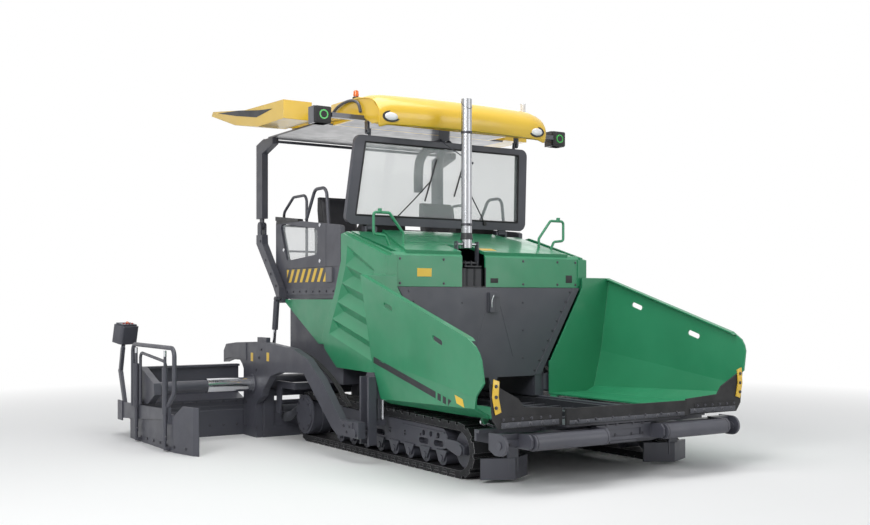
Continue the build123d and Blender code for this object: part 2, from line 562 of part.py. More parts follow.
with BuildPart() as tow_arm_left:
    plate([(805, 250), (805, 413), (424, 411), (-13, 793), (-354, 996), (-691, 1088), (-1245, 1124), (-1521, 1143),
           (-2300, 1110), (-2640, 1080), (-2719, 997), (-2719, 850), (-2510, 893), (-2190, 900), (-2120, 851),
           (base_rear_x, 800), (base_rear_x, 0), (base_front_x, 0), (base_front_x - 30, 400), (-1545, 500),
           (-1486, 590), (-1300, 750), (-1045, 805), (-430, 835), (232, 309), (350, 250)], arm_inner_y, arm_outer_y)
    rod_y(tube_x, tube_z, collar_r + 0.3, arm_inner_y - 1, arm_outer_y + 1, mode=Mode.SUBTRACT)
    # bolted rear section, lifting pad and the step along the top
    plate([(-1985, 905), (-1985, 1118), (-2290, 1104), (-2600, 1075), (-2690, 1000), (-2690, 880), (-2510, 915),
           (-2200, 925)], arm_outer_y - 1, arm_outer_y + 10)
    plate([(-1440, 1120), (-1440, 1190), (-1700, 1190), (-1700, 1120)], arm_inner_y + 15, arm_outer_y - 15)
    plate([(700, 265), (700, 400), (420, 400), (420, 265)], arm_outer_y - 1, arm_outer_y + 12)
    rod_y(tow_x, tow_z, 26, 1468, arm_inner_y + 1)
    rod_y(tow_x, tow_z, 56, 1468, 1494)
    rod_y(tow_x, tow_z, 44, arm_outer_y - 1, arm_outer_y + 16)
    rod_y(jack_eye_x, jack_eye_z, 13, 1348, arm_inner_y + 1)
    rod_y(jack_eye_x, jack_eye_z, 40, 1420, arm_inner_y + 1)


# ---- screed lift cylinders ----
jack_top = Vector(jack_top_x, jack_y, jack_top_z)
jack_eye = Vector(jack_eye_x, jack_y, jack_eye_z)
jack_length = (jack_eye - jack_top).length
jack_dir = (jack_eye - jack_top).normalized()

with BuildPart() as jack_barrel_left:
    rod_between(jack_top + jack_dir * 24, jack_top + jack_dir * 368, 36)
    rod_y(jack_top_x, jack_top_z, 32, jack_y - 26, jack_y + 26)
    rod_y(jack_top_x, jack_top_z, 14.1, jack_y - 27, jack_y + 27, mode=Mode.SUBTRACT)
    rod_between(jack_top + jack_dir * 45, jack_top + jack_dir * 369, 25, mode=Mode.SUBTRACT)

with BuildPart() as jack_rod_left:
    rod_between(jack_top + jack_dir * 330, jack_top + jack_dir * (jack_length - 34), 21)
    rod_y(jack_eye_x, jack_eye_z, 42, jack_y - 18, jack_y + 18)
    rod_y(jack_eye_x, jack_eye_z, 22, jack_y - 20, jack_y + 20, mode=Mode.SUBTRACT)


# ---- screed extensions with telescoping tubes ----
with BuildPart() as tube_mid_left:
    rod_y(tube_x, tube_z, mid_tube_r, 1000, 2215)
    rod_y(tube_x, tube_z, end_tube_r + 1, 999, 2216, mode=Mode.SUBTRACT)

gate_y = ext_outer_y + 25
beam_y = gate_y + 25
with BuildPart() as extension_left:
    plate([(ext_front_x, 0), (ext_front_x, 300), (ext_front_x - 18, 315), (ext_front_x - 18, 440), (ext_step_x, 500),
           (ext_step_x, 848), (ext_step_x - 60, 848), (ext_step_x - 60, 420), (ext_rear_x, 420), (ext_rear_x, 0)],
          ext_inner_y, ext_outer_y)
    block(ext_front_x - 40, ext_rear_x - 1, ext_inner_y + 20, ext_outer_y - 40, 80, 285, mode=Mode.SUBTRACT)
    for bead_z in (345, 405):
        block(ext_front_x - 20, ext_front_x - 10, ext_inner_y, ext_outer_y, bead_z, bead_z + 14)
    block(ext_step_x - 1, ext_step_x + 40, ext_inner_y, ext_outer_y, 822, 848)
    rod_y(tube_x, tube_z, end_tube_r, 1700, ext_outer_y - 2)
    # gusset plate from the tube's end back to the wall
    plate([(-1700, 560), (-1720, 690), (-2190, 850), (ext_step_x - 2, 850), (ext_step_x - 2, 440), (-1930, 440)],
          2790, ext_outer_y)
    rod_y(tube_x, tube_z, 84, 2782, 2792)
    # walkway behind
    block(-2950, ext_rear_x + 1, ext_inner_y + 60, ext_outer_y, 335, 370)
    for rib_y in (ext_inner_y + 60, ext_outer_y - 12):
        plate([(ext_rear_x + 1, 200), (-2940, 320), (-2940, 336), (ext_rear_x + 1, 336)], rib_y, rib_y + 12)
    # gate at the outer end: plate, folded nose, beam with its end plate
    plate([(-1000, 0), (-1000, 400), (-2500, 400), (-2500, 0)], ext_outer_y, gate_y)
    with BuildSketch(Plane.XY) as nose:
        with BuildLine():
            Polyline((-1001, gate_y), (-620, gate_y - 82), (-560, gate_y - 120), (-572, gate_y - 132),
                     (-627, gate_y - 98), (-1001, ext_outer_y), close=True)
        make_face()
    extrude(nose.sketch, amount=505)
    with BuildSketch(Plane.XZ.offset(-(gate_y + 10))) as nose_top:
        with BuildLine():
            Polyline((-1002, 380), (-820, 506), (-1002, 506), close=True)
        make_face()
    extrude(nose_top.sketch, amount=200, mode=Mode.SUBTRACT)
    plate([(-1150, 340), (-1150, 450), (-2860, 404), (-2860, 206)], gate_y - 1, beam_y)
    plate([(-2875, 190), (-2875, 425), (-2700, 425), (-2700, 190)], beam_y - 1, beam_y + 14)
    # height spindles with their tubes and cross handles
    for spindle_x in (-2118, -1125):
        rod_between((spindle_x, beam_y + 22, 400), (spindle_x, beam_y + 22, 900), 32)
        rod_between((spindle_x, beam_y + 22, 120), (spindle_x, beam_y + 22, 402), 22)
        rod_between((spindle_x, beam_y + 22, 16), (spindle_x, beam_y + 22, 122), 15)
        rod_between((spindle_x - 55, beam_y + 22, 165), (spindle_x + 55, beam_y + 22, 165), 8)
        rod_between((spindle_x, beam_y + 22, 898), (spindle_x, beam_y + 22, 1085), 16)
        block(spindle_x - 60, spindle_x + 60, gate_y - 1, beam_y + 2, 300, 480)
        block(spindle_x - 42, spindle_x + 42, gate_y - 2, beam_y + 22, 20, 52)
    # guard hoops
    bent_tube([(-2330, beam_y - 5, 395), (-2330, beam_y - 5, 1116), (-905, beam_y - 5, 1116),
               (-905, beam_y - 5, 640), (-1160, beam_y - 5, 440)], 95, 24)
    bent_tube([(-2060, beam_y - 8, 430), (-2060, beam_y - 8, 1030), (-1190, beam_y - 8, 960),
               (-1190, beam_y - 8, 440)], 70, 17)
    # control station
    plate([(-2660, 404), (-2720, 404), (-2905, 780), (-2880, 800), (-2800, 1060), (-2740, 1060), (-2830, 780)],
          beam_y - 40, beam_y)
    rod_between((-2790, beam_y - 20, 1000), (-2880, beam_y - 60, 1110), 24)
    box_plane = Plane(origin=(-2909.08, beam_y - 90, 1215), x_dir=(0.35, 0.937, 0), z_dir=(0.18, -0.07, 0.98))
    with BuildSketch(box_plane) as station:
        Rectangle(250, 190)
        fillet(station.vertices(), 35)
    extrude(station.sketch, amount=110, both=True)
    with BuildSketch(box_plane.offset(109)) as pad:
        Rectangle(200, 140)
    extrude(pad.sketch, amount=22)


# ---- folding canopy: rear posts, windscreen, roof, sliding roof wings ----
with BuildPart() as rear_posts:
    for side in (-1, 1):
        low, high = sorted((side * post_inner_y, side * post_outer_y))
        plate([(post_x - 85, 2640), (post_x + 90, 2640), (post_x + 90, 3440), (-1900, 3530), (-1900, 3610),
               (-2200, 3610), (post_x - 85, 3560)], low, high)
        block(post_x - 45, post_x + 45, side * 1290, side * 1314, post_z, 2650)
        rod_y(post_x, post_z, 45, side * 1290, side * 1314)
        rod_y(post_x, post_z, 18.3, side * 1289, side * 1315, mode=Mode.SUBTRACT)
    rod_y(post_x + link_x, post_z + link_z, 18, -post_outer_y, post_outer_y)

with BuildPart() as windscreen_frame:
    screen_plane = Plane(origin=(screen_x, 0, screen_z), x_dir=(0, 1, 0), z_dir=(link_z, 0, -link_x))
    with BuildSketch(screen_plane):
        with BuildLine():
            Polyline((-1235, 40), (1235, 40), (1165, 1015), (-1165, 1015), close=True)
        make_face()
        fillet(vertices(), 90)
        with BuildLine():
            Polyline((-1110, 140), (1110, 140), (1045, 945), (-1045, 945), close=True)
        make_face(mode=Mode.SUBTRACT)
    extrude(amount=30, both=True)
    for side in (-1, 1):
        # hinge knuckle below, ear and pin to the roof above
        low, high = sorted((side * 850, side * 945))
        with BuildSketch(screen_plane) as knuckle:
            with Locations(((low + high) / 2, 25)):
                Rectangle(high - low, 50)
        extrude(knuckle.sketch, amount=14, both=True)
        rod_y(screen_x, screen_z, 24, low, high)
        rod_y(screen_x, screen_z, 12.3, low - 1, high + 1, mode=Mode.SUBTRACT)
        with BuildSketch(screen_plane) as ear:
            with Locations((side * 985, 1045)):
                Rectangle(20, 90)
        extrude(ear.sketch, amount=16, both=True)
        rod_y(screen_x + link_x, screen_z + link_z, 12, side * 976, side * 1040)

with BuildPart() as windscreen_glass:
    with BuildSketch(screen_plane):
        with BuildLine():
            Polyline((-1110, 140), (1110, 140), (1045, 945), (-1045, 945), close=True)
        make_face()
    extrude(amount=5, both=True)

with BuildPart() as canopy:
    plate([(300, 3500), (300, 3640), (160, 3790), (-200, 3850), (-800, 3860), (-800, 3640), (-800, 3620),
           (-60, 3620), (200, 3500)], -1090, 1090)
    with BuildSketch(Plane.XZ.offset(1060)) as hollow:
        with BuildLine():
            Polyline((270, 3499), (270, 3630), (145, 3765), (-205, 3822), (-801, 3832), (-801, 3640), (-40, 3640),
                     (190, 3530), (190, 3499), close=True)
        make_face()
    extrude(hollow.sketch, amount=-2120, mode=Mode.SUBTRACT)
    block(-2120, -780, -1300, 1300, 3620, 3640)
    plate([(-790, 3640), (-790, 3850), (-2100, 3800), (-2150, 3640)], -980, 980)
    for bar_x in (-1000, -1420):
        block(bar_x - 25, bar_x + 25, -981, 981, 3648, 3692, mode=Mode.SUBTRACT)
    block(-2050, -900, -600, 600, 3639, 3760, mode=Mode.SUBTRACT)
    block(-30, 180, stay_y + 14, stay_y + 24, 3405, 3640)
    rod_y(stay_roof_x, stay_roof_z, 6, stay_y - 8, stay_y + 15)
    for side in (-1, 1):
        # bearings of the post shaft and eyes of the windscreen pins
        block(-2200, -2080, side * 1210, side * 1250, 3572, 3640)
        rod_y(post_x + link_x, post_z + link_z, 18.3, side * 1209, side * 1251, mode=Mode.SUBTRACT)
        block(-165, -95, side * 1005, side * 1029, 3475, 3621)
        rod_y(screen_x + link_x, screen_z + link_z, 35, side * 1005, side * 1029)
        rod_y(screen_x + link_x, screen_z + link_z, 18, side * 1004, side * 1030, mode=Mode.SUBTRACT)
        block(-100, -20, side * 1060, side * 1500, 3570, 3620)
        block(-190, -60, side * 1500, side * 1700, 3500, 3680)
    with Locations((-50, 1060, 3880)):
        Cylinder(30, 160)

with BuildPart() as canopy_wing_left:
    plate([(-810, 3650), (-810, 3860), (-1900, 3900), (-2930, 4030), (-2980, 3980), (-2200, 3760), (-1510, 3650)],
          1350, 1700)
    for bar_x in (-1000, -1420):
        block(bar_x - 18, bar_x + 18, 960, 1360, 3654, 3686)


# ---- exhaust pipe and its stay ----
with BuildPart() as exhaust:
    rod_between((exhaust_x, exhaust_y, exhaust_z - 40), (exhaust_x, exhaust_y, exhaust_top_z), 57)
    rod_between((exhaust_x, exhaust_y, exhaust_z + 200), (exhaust_x, exhaust_y, exhaust_top_z + 1), 50,
                mode=Mode.SUBTRACT)
    rod_y(exhaust_x, exhaust_z, 14, exhaust_y - 141, exhaust_y + 141)
    rod_y(exhaust_x, stay_pipe_z, 12, exhaust_y + 52, exhaust_y + 58)

with BuildPart() as exhaust_stay:
    rod_between((stay_roof_x, stay_y, stay_roof_z), (exhaust_x, stay_y, stay_pipe_z), 6)
    for end_x, end_z in ((stay_roof_x, stay_roof_z), (exhaust_x, stay_pipe_z)):
        rod_y(end_x, end_z, 14, stay_y - 8, stay_y + 8)
    rod_y(stay_roof_x, stay_roof_z, 6.1, stay_y - 9, stay_y + 9, mode=Mode.SUBTRACT)


singles = {
    "undercarriage": undercarriage, "main_frame": main_frame, "bulkhead": bulkhead, "conveyor": conveyor,
    "hood": hood, "platform": platform, "operator_console": operator_console, "seats": seats,
    "apron_centre": apron_centre, "push_beam": push_beam, "screed_base": screed_base,
    "rear_posts": rear_posts, "windscreen_frame": windscreen_frame, "windscreen_glass": windscreen_glass,
    "canopy": canopy, "exhaust": exhaust, "exhaust_stay": exhaust_stay,
}
sided = {
    "track": track_left, "cowl": cowl_left, "hopper_wing": hopper_wing_left,
    "hopper_apron": hopper_apron_left, "hopper_barrel": hopper_barrel_left, "hopper_rod": hopper_rod_left,
    "push_roller": push_roller_left, "auger": auger_left, "tow_arm": tow_arm_left,
    "jack_barrel": jack_barrel_left, "jack_rod": jack_rod_left, "tube_mid": tube_mid_left,
    "extension": extension_left, "canopy_wing": canopy_wing_left,
}

for name, built in singles.items():
    built.part.label = name
    export_step(built.part, f"parts/{name}.step")

for name, built in sided.items():
    with BuildPart() as twin:
        mirror(built.part, about=Plane.XZ)
    built.part.label = f"{name}_left"
    twin.part.label = f"{name}_right"
    export_step(built.part, f"parts/{name}_left.step")
    export_step(twin.part, f"parts/{name}_right.step")
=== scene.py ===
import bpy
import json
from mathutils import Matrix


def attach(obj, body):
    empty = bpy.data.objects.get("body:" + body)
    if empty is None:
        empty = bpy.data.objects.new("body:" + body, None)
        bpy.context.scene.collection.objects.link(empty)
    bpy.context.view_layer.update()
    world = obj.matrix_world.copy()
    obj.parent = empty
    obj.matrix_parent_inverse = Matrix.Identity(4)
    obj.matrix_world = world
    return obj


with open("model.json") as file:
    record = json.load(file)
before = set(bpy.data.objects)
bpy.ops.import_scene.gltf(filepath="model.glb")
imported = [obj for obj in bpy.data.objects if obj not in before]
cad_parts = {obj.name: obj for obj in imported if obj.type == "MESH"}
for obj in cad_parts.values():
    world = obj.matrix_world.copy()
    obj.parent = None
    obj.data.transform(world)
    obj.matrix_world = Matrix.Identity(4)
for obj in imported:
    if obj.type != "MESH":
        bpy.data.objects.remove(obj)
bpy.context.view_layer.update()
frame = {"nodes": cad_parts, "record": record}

import json
import math

import bmesh
import bpy
from mathutils import Matrix, Vector
from mathutils.bvhtree import BVHTree

# everything is in metres, +X to the push rollers, +Y to the machine's left, +Z up


# materials: one row each under its columns' names, one function for each kind of finish
paintColumns = ("colour", "shade", "edge", "roughness", "coat", "peel", "edgeWidth", "edgeShare")
paints = {
    "greenPaint": ((0.028, 0.270, 0.125), (0.022, 0.240, 0.108), (0.10, 0.40, 0.22),
        (0.34, 0.46), 0.30, 0.06, 0.005, 0.35),
    "grayPaint": ((0.072, 0.074, 0.092), (0.060, 0.061, 0.076), (0.16, 0.16, 0.18),
        (0.42, 0.55), 0.12, 0.10, 0.005, 0.4),
    "darkPaint": ((0.020, 0.021, 0.026), (0.014, 0.015, 0.018), (0.07, 0.07, 0.08),
        (0.45, 0.6), 0.1, 0.12, 0.004, 0.4),
    "yellowPaint": ((0.82, 0.53, 0.030), (0.77, 0.48, 0.024), (0.90, 0.66, 0.10),
        (0.28, 0.38), 0.5, 0.05, 0.008, 0.3),
    "blackPlastic": ((0.016, 0.016, 0.018), (0.011, 0.011, 0.012), (0.05, 0.05, 0.055),
        (0.5, 0.62), 0.0, 0.35, 0.003, 0.3),
    "rubber": ((0.014, 0.014, 0.016), (0.010, 0.010, 0.011), (0.04, 0.04, 0.042),
        (0.62, 0.8), 0.0, 0.5, 0.003, 0.4),
    "labelYellow": ((0.86, 0.56, 0.030), (0.82, 0.52, 0.025), (0.86, 0.60, 0.06),
        (0.35, 0.45), 0.2, 0.02, 0.001, 0.2),
    "redPlastic": ((0.45, 0.020, 0.014), (0.36, 0.016, 0.012), (0.55, 0.06, 0.05),
        (0.35, 0.45), 0.2, 0.1, 0.002, 0.3),
    "lampOrange": ((0.80, 0.16, 0.010), (0.66, 0.12, 0.008), (0.90, 0.30, 0.05),
        (0.12, 0.2), 0.6, 0.02, 0.002, 0.3),
    "lampGreen": ((0.030, 0.50, 0.060), (0.020, 0.40, 0.050), (0.10, 0.60, 0.15),
        (0.15, 0.25), 0.5, 0.02, 0.002, 0.3),
    "lampWhite": ((0.86, 0.87, 0.88), (0.80, 0.81, 0.83), (0.95, 0.95, 0.95),
        (0.06, 0.12), 0.8, 0.02, 0.002, 0.3),
}
metalColumns = ("colour", "worn", "roughness", "metallic", "edgeWidth", "edgeShare", "grain", "bump")
metals = {
    "trackSteel": ((0.030, 0.030, 0.033), (0.36, 0.36, 0.37), (0.45, 0.7), 0.7, 0.008, 0.9, 60.0, 0.3),
    "wearSteel": ((0.075, 0.078, 0.090), (0.28, 0.28, 0.30), (0.4, 0.6), 0.6, 0.006, 0.7, 30.0, 0.2),
    "boltSteel": ((0.080, 0.080, 0.092), (0.24, 0.24, 0.26), (0.35, 0.5), 0.8, 0.002, 0.5, 80.0, 0.1),
    "pipeSteel": ((0.40, 0.41, 0.43), (0.46, 0.47, 0.49), (0.24, 0.30), 1.0, 0.001, 0.0, 5.0, 0.0),
    "chrome": ((0.66, 0.67, 0.70), (0.74, 0.74, 0.76), (0.12, 0.18), 1.0, 0.001, 0.0, 6.0, 0.0),
}
paints = {name: dict(zip(paintColumns, row)) for name, row in paints.items()}
metals = {name: dict(zip(metalColumns, row)) for name, row in metals.items()}
# seat vinyl: its colour, a painted shade for the sunken pits of its grain, roughness, grain size and bump
vinyl = {"colour": (0.030, 0.030, 0.036), "pitShade": (0.016, 0.016, 0.020), "roughness": 0.55, "grain": 260.0,
         "bump": 0.35}
paintNoise = {"broad": 1.7, "smudge": 6.0, "peel": 240.0, "coatRoughness": 0.12}
bumpDepth = 0.002
tintedGlass = {"colour": (0.60, 0.63, 0.64), "roughness": (0.02, 0.05), "haze": 3.0, "tint": 0.30,
               "bend": 1.45}


def addObject(name, data):
    added = bpy.data.objects.new(name, data)
    bpy.context.scene.collection.objects.link(added)
    return added


def newShader(name):
    material = bpy.data.materials.new(name)
    material.use_nodes = True
    tree = material.node_tree
    return material, tree, tree.nodes["Principled BSDF"]


def addNode(tree, kind):
    return tree.nodes.new("ShaderNode" + kind)


def feed(tree, source, node, name):
    tree.links.new(source, node.inputs[name])


def setInputs(node, **values):
    # keyword names with their spaces as underlines
    for name, value in values.items():
        node.inputs[name.replace("_", " ")].default_value = value


def noiseNode(tree, scale, detail=3.0):
    place = addNode(tree, "TexCoord")
    noise = addNode(tree, "TexNoise")
    setInputs(noise, Scale=scale, Detail=detail)
    feed(tree, place.outputs["Object"], noise, "Vector")
    return noise


def spread(tree, source, low, high, start=0.35, end=0.65):
    remap = addNode(tree, "MapRange")
    setInputs(remap, From_Min=start, From_Max=end, To_Min=low, To_Max=high)
    feed(tree, source, remap, "Value")
    return remap.outputs["Result"]


def calc(tree, operation, *values, kind="Math"):
    # a math node fed by sockets or plain values
    node = addNode(tree, kind)
    node.operation = operation
    for socket, value in zip(node.inputs, values):
        if isinstance(value, bpy.types.NodeSocket):
            tree.links.new(value, socket)
        else:
            socket.default_value = value
    return node.outputs


def bumpOn(tree, shader, height, strength, normal=None):
    bump = addNode(tree, "Bump")
    setInputs(bump, Strength=strength, Distance=bumpDepth)
    feed(tree, height, bump, "Height")
    if normal is not None:
        feed(tree, normal, bump, "Normal")
    feed(tree, bump.outputs["Normal"], shader, "Normal")


def blendColours(tree, factor, first, second):
    mix = addNode(tree, "Mix")
    mix.data_type = "RGBA"
    for socket, value in (("A", first), ("B", second)):
        target = [s for s in mix.inputs if s.name == socket and s.type == "RGBA"][0]
        if isinstance(value, tuple):
            target.default_value = (*value, 1.0)
        else:
            tree.links.new(value, target)
    feed(tree, factor, mix, "Factor")
    return [s for s in mix.outputs if s.type == "RGBA"][0]


def edgeMask(tree, width, share):
    # the softened normal turns away from the true one only near an edge
    soft = addNode(tree, "Bevel")
    soft.samples = 4
    soft.inputs["Radius"].default_value = width
    geometry = addNode(tree, "NewGeometry")
    turned = calc(tree, "DOT_PRODUCT", soft.outputs["Normal"], geometry.outputs["Normal"], kind="VectorMath")
    mask = spread(tree, turned["Value"], share, 0.0, 0.80, 0.97)
    return soft.outputs["Normal"], mask


def paintShader(name, look):
    material, tree, shader = newShader(name)
    broad = noiseNode(tree, paintNoise["broad"])
    body = blendColours(tree, spread(tree, broad.outputs["Fac"], 0.0, 1.0),
                        look["colour"], look["shade"])
    softNormal, mask = edgeMask(tree, look["edgeWidth"], look["edgeShare"])
    feed(tree, blendColours(tree, mask, body, look["edge"]), shader, "Base Color")
    smudge = noiseNode(tree, paintNoise["smudge"], 5.0)
    feed(tree, spread(tree, smudge.outputs["Fac"], *look["roughness"]), shader, "Roughness")
    setInputs(shader, Coat_Weight=look["coat"], Coat_Roughness=paintNoise["coatRoughness"])
    peel = noiseNode(tree, paintNoise["peel"], 2.0)
    bumpOn(tree, shader, peel.outputs["Fac"], look["peel"], softNormal)
    return material


def metalShader(name, look):
    material, tree, shader = newShader(name)
    softNormal, mask = edgeMask(tree, look["edgeWidth"], look["edgeShare"])
    feed(tree, blendColours(tree, mask, look["colour"], look["worn"]), shader, "Base Color")
    grain = noiseNode(tree, look["grain"], 6.0)
    feed(tree, spread(tree, grain.outputs["Fac"], *look["roughness"]), shader, "Roughness")
    shader.inputs["Metallic"].default_value = look["metallic"]
    bumpOn(tree, shader, grain.outputs["Fac"], look["bump"], softNormal)
    return material


def vinylShader():
    material, tree, shader = newShader("seatVinyl")
    cells = addNode(tree, "TexVoronoi")
    cells.inputs["Scale"].default_value = vinyl["grain"]
    place = addNode(tree, "TexCoord")
    feed(tree, place.outputs["Object"], cells, "Vector")
    # painted shade: the sunken middles of the grain's cells take the darker colour
    mixed = blendColours(tree, cells.outputs["Distance"], vinyl["pitShade"], vinyl["colour"])
    feed(tree, mixed, shader, "Base Color")
    shader.inputs["Roughness"].default_value = vinyl["roughness"]
    bumpOn(tree, shader, cells.outputs["Distance"], vinyl["bump"])
    return material


def glassShader():
    material, tree, shader = newShader("clearGlass")
    haze = noiseNode(tree, tintedGlass["haze"])
    feed(tree, spread(tree, haze.outputs["Fac"], *tintedGlass["roughness"]), shader, "Roughness")
    setInputs(shader, Base_Color=(*tintedGlass["colour"], 1.0), Alpha=tintedGlass["tint"],
              IOR=tintedGlass["bend"])
    return material


def boxMask(tree, box):
    # one inside a box given in the part's own frame, and nought outside it
    place = addNode(tree, "TexCoord").outputs["Object"]
    middle = [(a + b) / 2 for a, b in box]
    offset = calc(tree, "SUBTRACT", place, middle, kind="VectorMath")["Vector"]
    split = addNode(tree, "SeparateXYZ")
    tree.links.new(calc(tree, "ABSOLUTE", offset, kind="VectorMath")["Vector"], split.inputs[0])
    result = 1.0
    for axis, (a, b) in enumerate(box):
        inside = calc(tree, "LESS_THAN", split.outputs[axis], abs(b - a) / 2)[0]
        result = calc(tree, "MULTIPLY", result, inside)[0]
    return result


def zonedPaint(name, look, zones):
    # a paint whose colour changes inside the boxes given
    material = paintShader(name, look)
    tree = material.node_tree
    shader = tree.nodes["Principled BSDF"]
    for *box, colour in zones:
        base = shader.inputs["Base Color"].links[0].from_socket
        mixed = blendColours(tree, boxMask(tree, box), base, colour)
        feed(tree, mixed, shader, "Base Color")
    return material


stripes = {"across": (1.0, 0.0, -0.62), "cycle": 0.150, "dark": 0.080, "colour": (0.020, 0.020, 0.022)}


def hazardPaint():
    # slanted stripes over the label yellow
    material = paintShader("hazardPaint", paints["labelYellow"])
    tree = material.node_tree
    shader = tree.nodes["Principled BSDF"]
    place = addNode(tree, "TexCoord").outputs["Object"]
    along = calc(tree, "DOT_PRODUCT", place, stripes["across"], kind="VectorMath")["Value"]
    cycle = calc(tree, "WRAP", along, stripes["cycle"], 0.0)[0]
    dark = calc(tree, "LESS_THAN", cycle, stripes["dark"])[0]
    base = shader.inputs["Base Color"].links[0].from_socket
    mixed = blendColours(tree, dark, base, stripes["colour"])
    feed(tree, mixed, shader, "Base Color")
    return material


materials = {name: paintShader(name, look) for name, look in paints.items()}
materials.update({name: metalShader(name, look) for name, look in metals.items()})
materials["seatVinyl"] = vinylShader()
materials["clearGlass"] = glassShader()
materials["hazardPaint"] = hazardPaint()
grayZone, darkZone = paints["grayPaint"]["colour"], paints["darkPaint"]["colour"]
blackZone = paints["blackPlastic"]["colour"]
# nodes that wear more than one colour: the base paint, then each box's ranges of X, Y and Z and its colour
zonedFinishes = {
    "canopyPaint": ("yellowPaint", (
        ((-2.3, -0.785), (-1.4, 1.4), (3.3, 3.66), grayZone),
        ((-0.9, 0.1), (1.095, 1.8), (3.3, 3.7), grayZone),
        ((-0.9, 0.1), (-1.8, -1.095), (3.3, 3.7), grayZone),
        ((-0.75, 0.19), (-1.05, 1.05), (3.3, 3.84), grayZone),
        ((-0.1, 0.1), (1.0, 1.2), (3.86, 4.0), (0.7, 0.7, 0.72)),
    )),
    "hoodPaint": ("greenPaint", (
        ((0.46, 0.792), (-0.390, -0.080), (1.76, 1.975), darkZone),
        ((-0.24, 0.52), (-0.9, 0.5), (2.0, 2.155), darkZone),
    )),
    "platformPaint": ("grayPaint", tuple(
        (x, (min(a * way, b * way), max(a * way, b * way)), z, colour)
        for x, (a, b), z, colour in (
            ((-2.05, -1.35), (1.15, 1.30), (2.553, 2.68), blackZone),
            ((-0.63, -0.47), (1.252, 1.28), (1.82, 2.0), (0.12, 0.12, 0.135)),
        ) for way in (-1, 1)
    )),
}
for name, (base, zones) in zonedFinishes.items():
    materials[name] = zonedPaint(name, paints[base], zones)

slotFinish = {
    "green_paint": "greenPaint", "gray_paint": "grayPaint", "dark_paint": "darkPaint",
    "yellow_paint": "yellowPaint", "track_steel": "trackSteel", "wear_steel": "wearSteel",
    "chrome": "chrome", "rubber": "rubber", "seat_vinyl": "seatVinyl", "glass": "clearGlass",
    "black_plastic": "blackPlastic",
}
print("materials made:", len(materials))

# nodes whose solid wears something else than its slot's finish
nodeFinish = {"canopy": "canopyPaint", "hood": "hoodPaint", "platform": "platformPaint",
              "exhaust": "pipeSteel"}
for subpart in frame["record"]["subparts"]:
    finish = materials[nodeFinish.get(subpart["node"], slotFinish[subpart["material_slot"]])]
    solid = frame["nodes"][subpart["node"]]
    solid.data.materials.clear()
    solid.data.materials.append(finish)
print("solids finished:", len(frame["nodes"]))


# the record's slot for each finish of the scene's own pieces
pieceSlots = {finish: slot for slot, finish in slotFinish.items()}
pieceSlots.update({
    "labelYellow": "yellow_paint", "hazardPaint": "yellow_paint", "lampOrange": "yellow_paint",
    "lampGreen": "green_paint", "lampWhite": "chrome", "redPlastic": "black_plastic",
    "boltSteel": "wear_steel",
})
fineBolt, plainBolt, coverBolt, heavyBolt = 0.009, 0.010, 0.012, 0.013


# building helpers: every detail is one mesh made of bevelled blocks, rods and plates
def newPiece(name, shape, finish, body, angle=35):
    mesh = bpy.data.meshes.new(name)
    shape.normal_update()
    shape.to_mesh(mesh)
    shape.free()
    mesh.shade_smooth()
    mesh.set_sharp_from_angle(angle=math.radians(angle))
    mesh.materials.append(materials[finish])
    piece = addObject(name, mesh)
    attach(piece, body)
    return piece


def roundEdges(shape, corners, size, steps=2):
    edges = list({edge for corner in corners for edge in corner.link_edges})
    bmesh.ops.bevel(shape, geom=edges, offset=size, segments=steps, profile=0.6, affect="EDGES",
                    clamp_overlap=True)


def addBlock(shape, low, high, soft=0.004, turn=None):
    middle = [(a + b) / 2 for a, b in zip(low, high)]
    size = [abs(b - a) for a, b in zip(low, high)]
    matrix = Matrix.Translation(middle)
    if turn:
        matrix = matrix @ turn
    matrix = matrix @ Matrix.Diagonal((*size, 1.0))
    made = bmesh.ops.create_cube(shape, size=1.0, matrix=matrix)["verts"]
    if soft:
        roundEdges(shape, made, min(soft, min(size) * 0.35))


def addRod(shape, start, end, radius, endRadius=None, sides=20, soft=0.0):
    start, end = Vector(start), Vector(end)
    run = end - start
    matrix = Matrix.Translation((start + end) / 2) @ run.to_track_quat("Z", "Y").to_matrix().to_4x4()
    made = bmesh.ops.create_cone(shape, cap_ends=True, cap_tris=False, segments=sides, radius1=radius,
                                 radius2=radius if endRadius is None else endRadius, depth=run.length,
                                 matrix=matrix)["verts"]
    if soft:
        caps = [edge for edge in {e for v in made for e in v.link_edges}
                if abs((edge.verts[0].co - edge.verts[1].co).dot(run.normalized())) < 1e-6]
        bmesh.ops.bevel(shape, geom=caps, offset=soft, segments=2, affect="EDGES", clamp_overlap=True)


def addBolt(shape, place, out, radius=0.011, tall=0.008):
    place, out = Vector(place), Vector(out).normalized()
    addRod(shape, place - out * 0.002, place + out * 0.002, radius * 1.55, sides=16)
    addRod(shape, place + out * 0.002, place + out * (0.002 + tall), radius, radius * 0.92, sides=6)


def addPlate(shape, corners, out, thick=0.002, soft=0.0):
    # a flat plate on the corners given, raised along out
    out = Vector(out).normalized()
    lower = [shape.verts.new(Vector(corner)) for corner in corners]
    upper = [shape.verts.new(Vector(corner) + out * thick) for corner in corners]
    count = len(corners)
    shape.faces.new(upper)
    shape.faces.new(list(reversed(lower)))
    for k in range(count):
        shape.faces.new([lower[k], lower[(k + 1) % count], upper[(k + 1) % count], upper[k]])
    if soft:
        roundEdges(shape, lower + upper, soft)


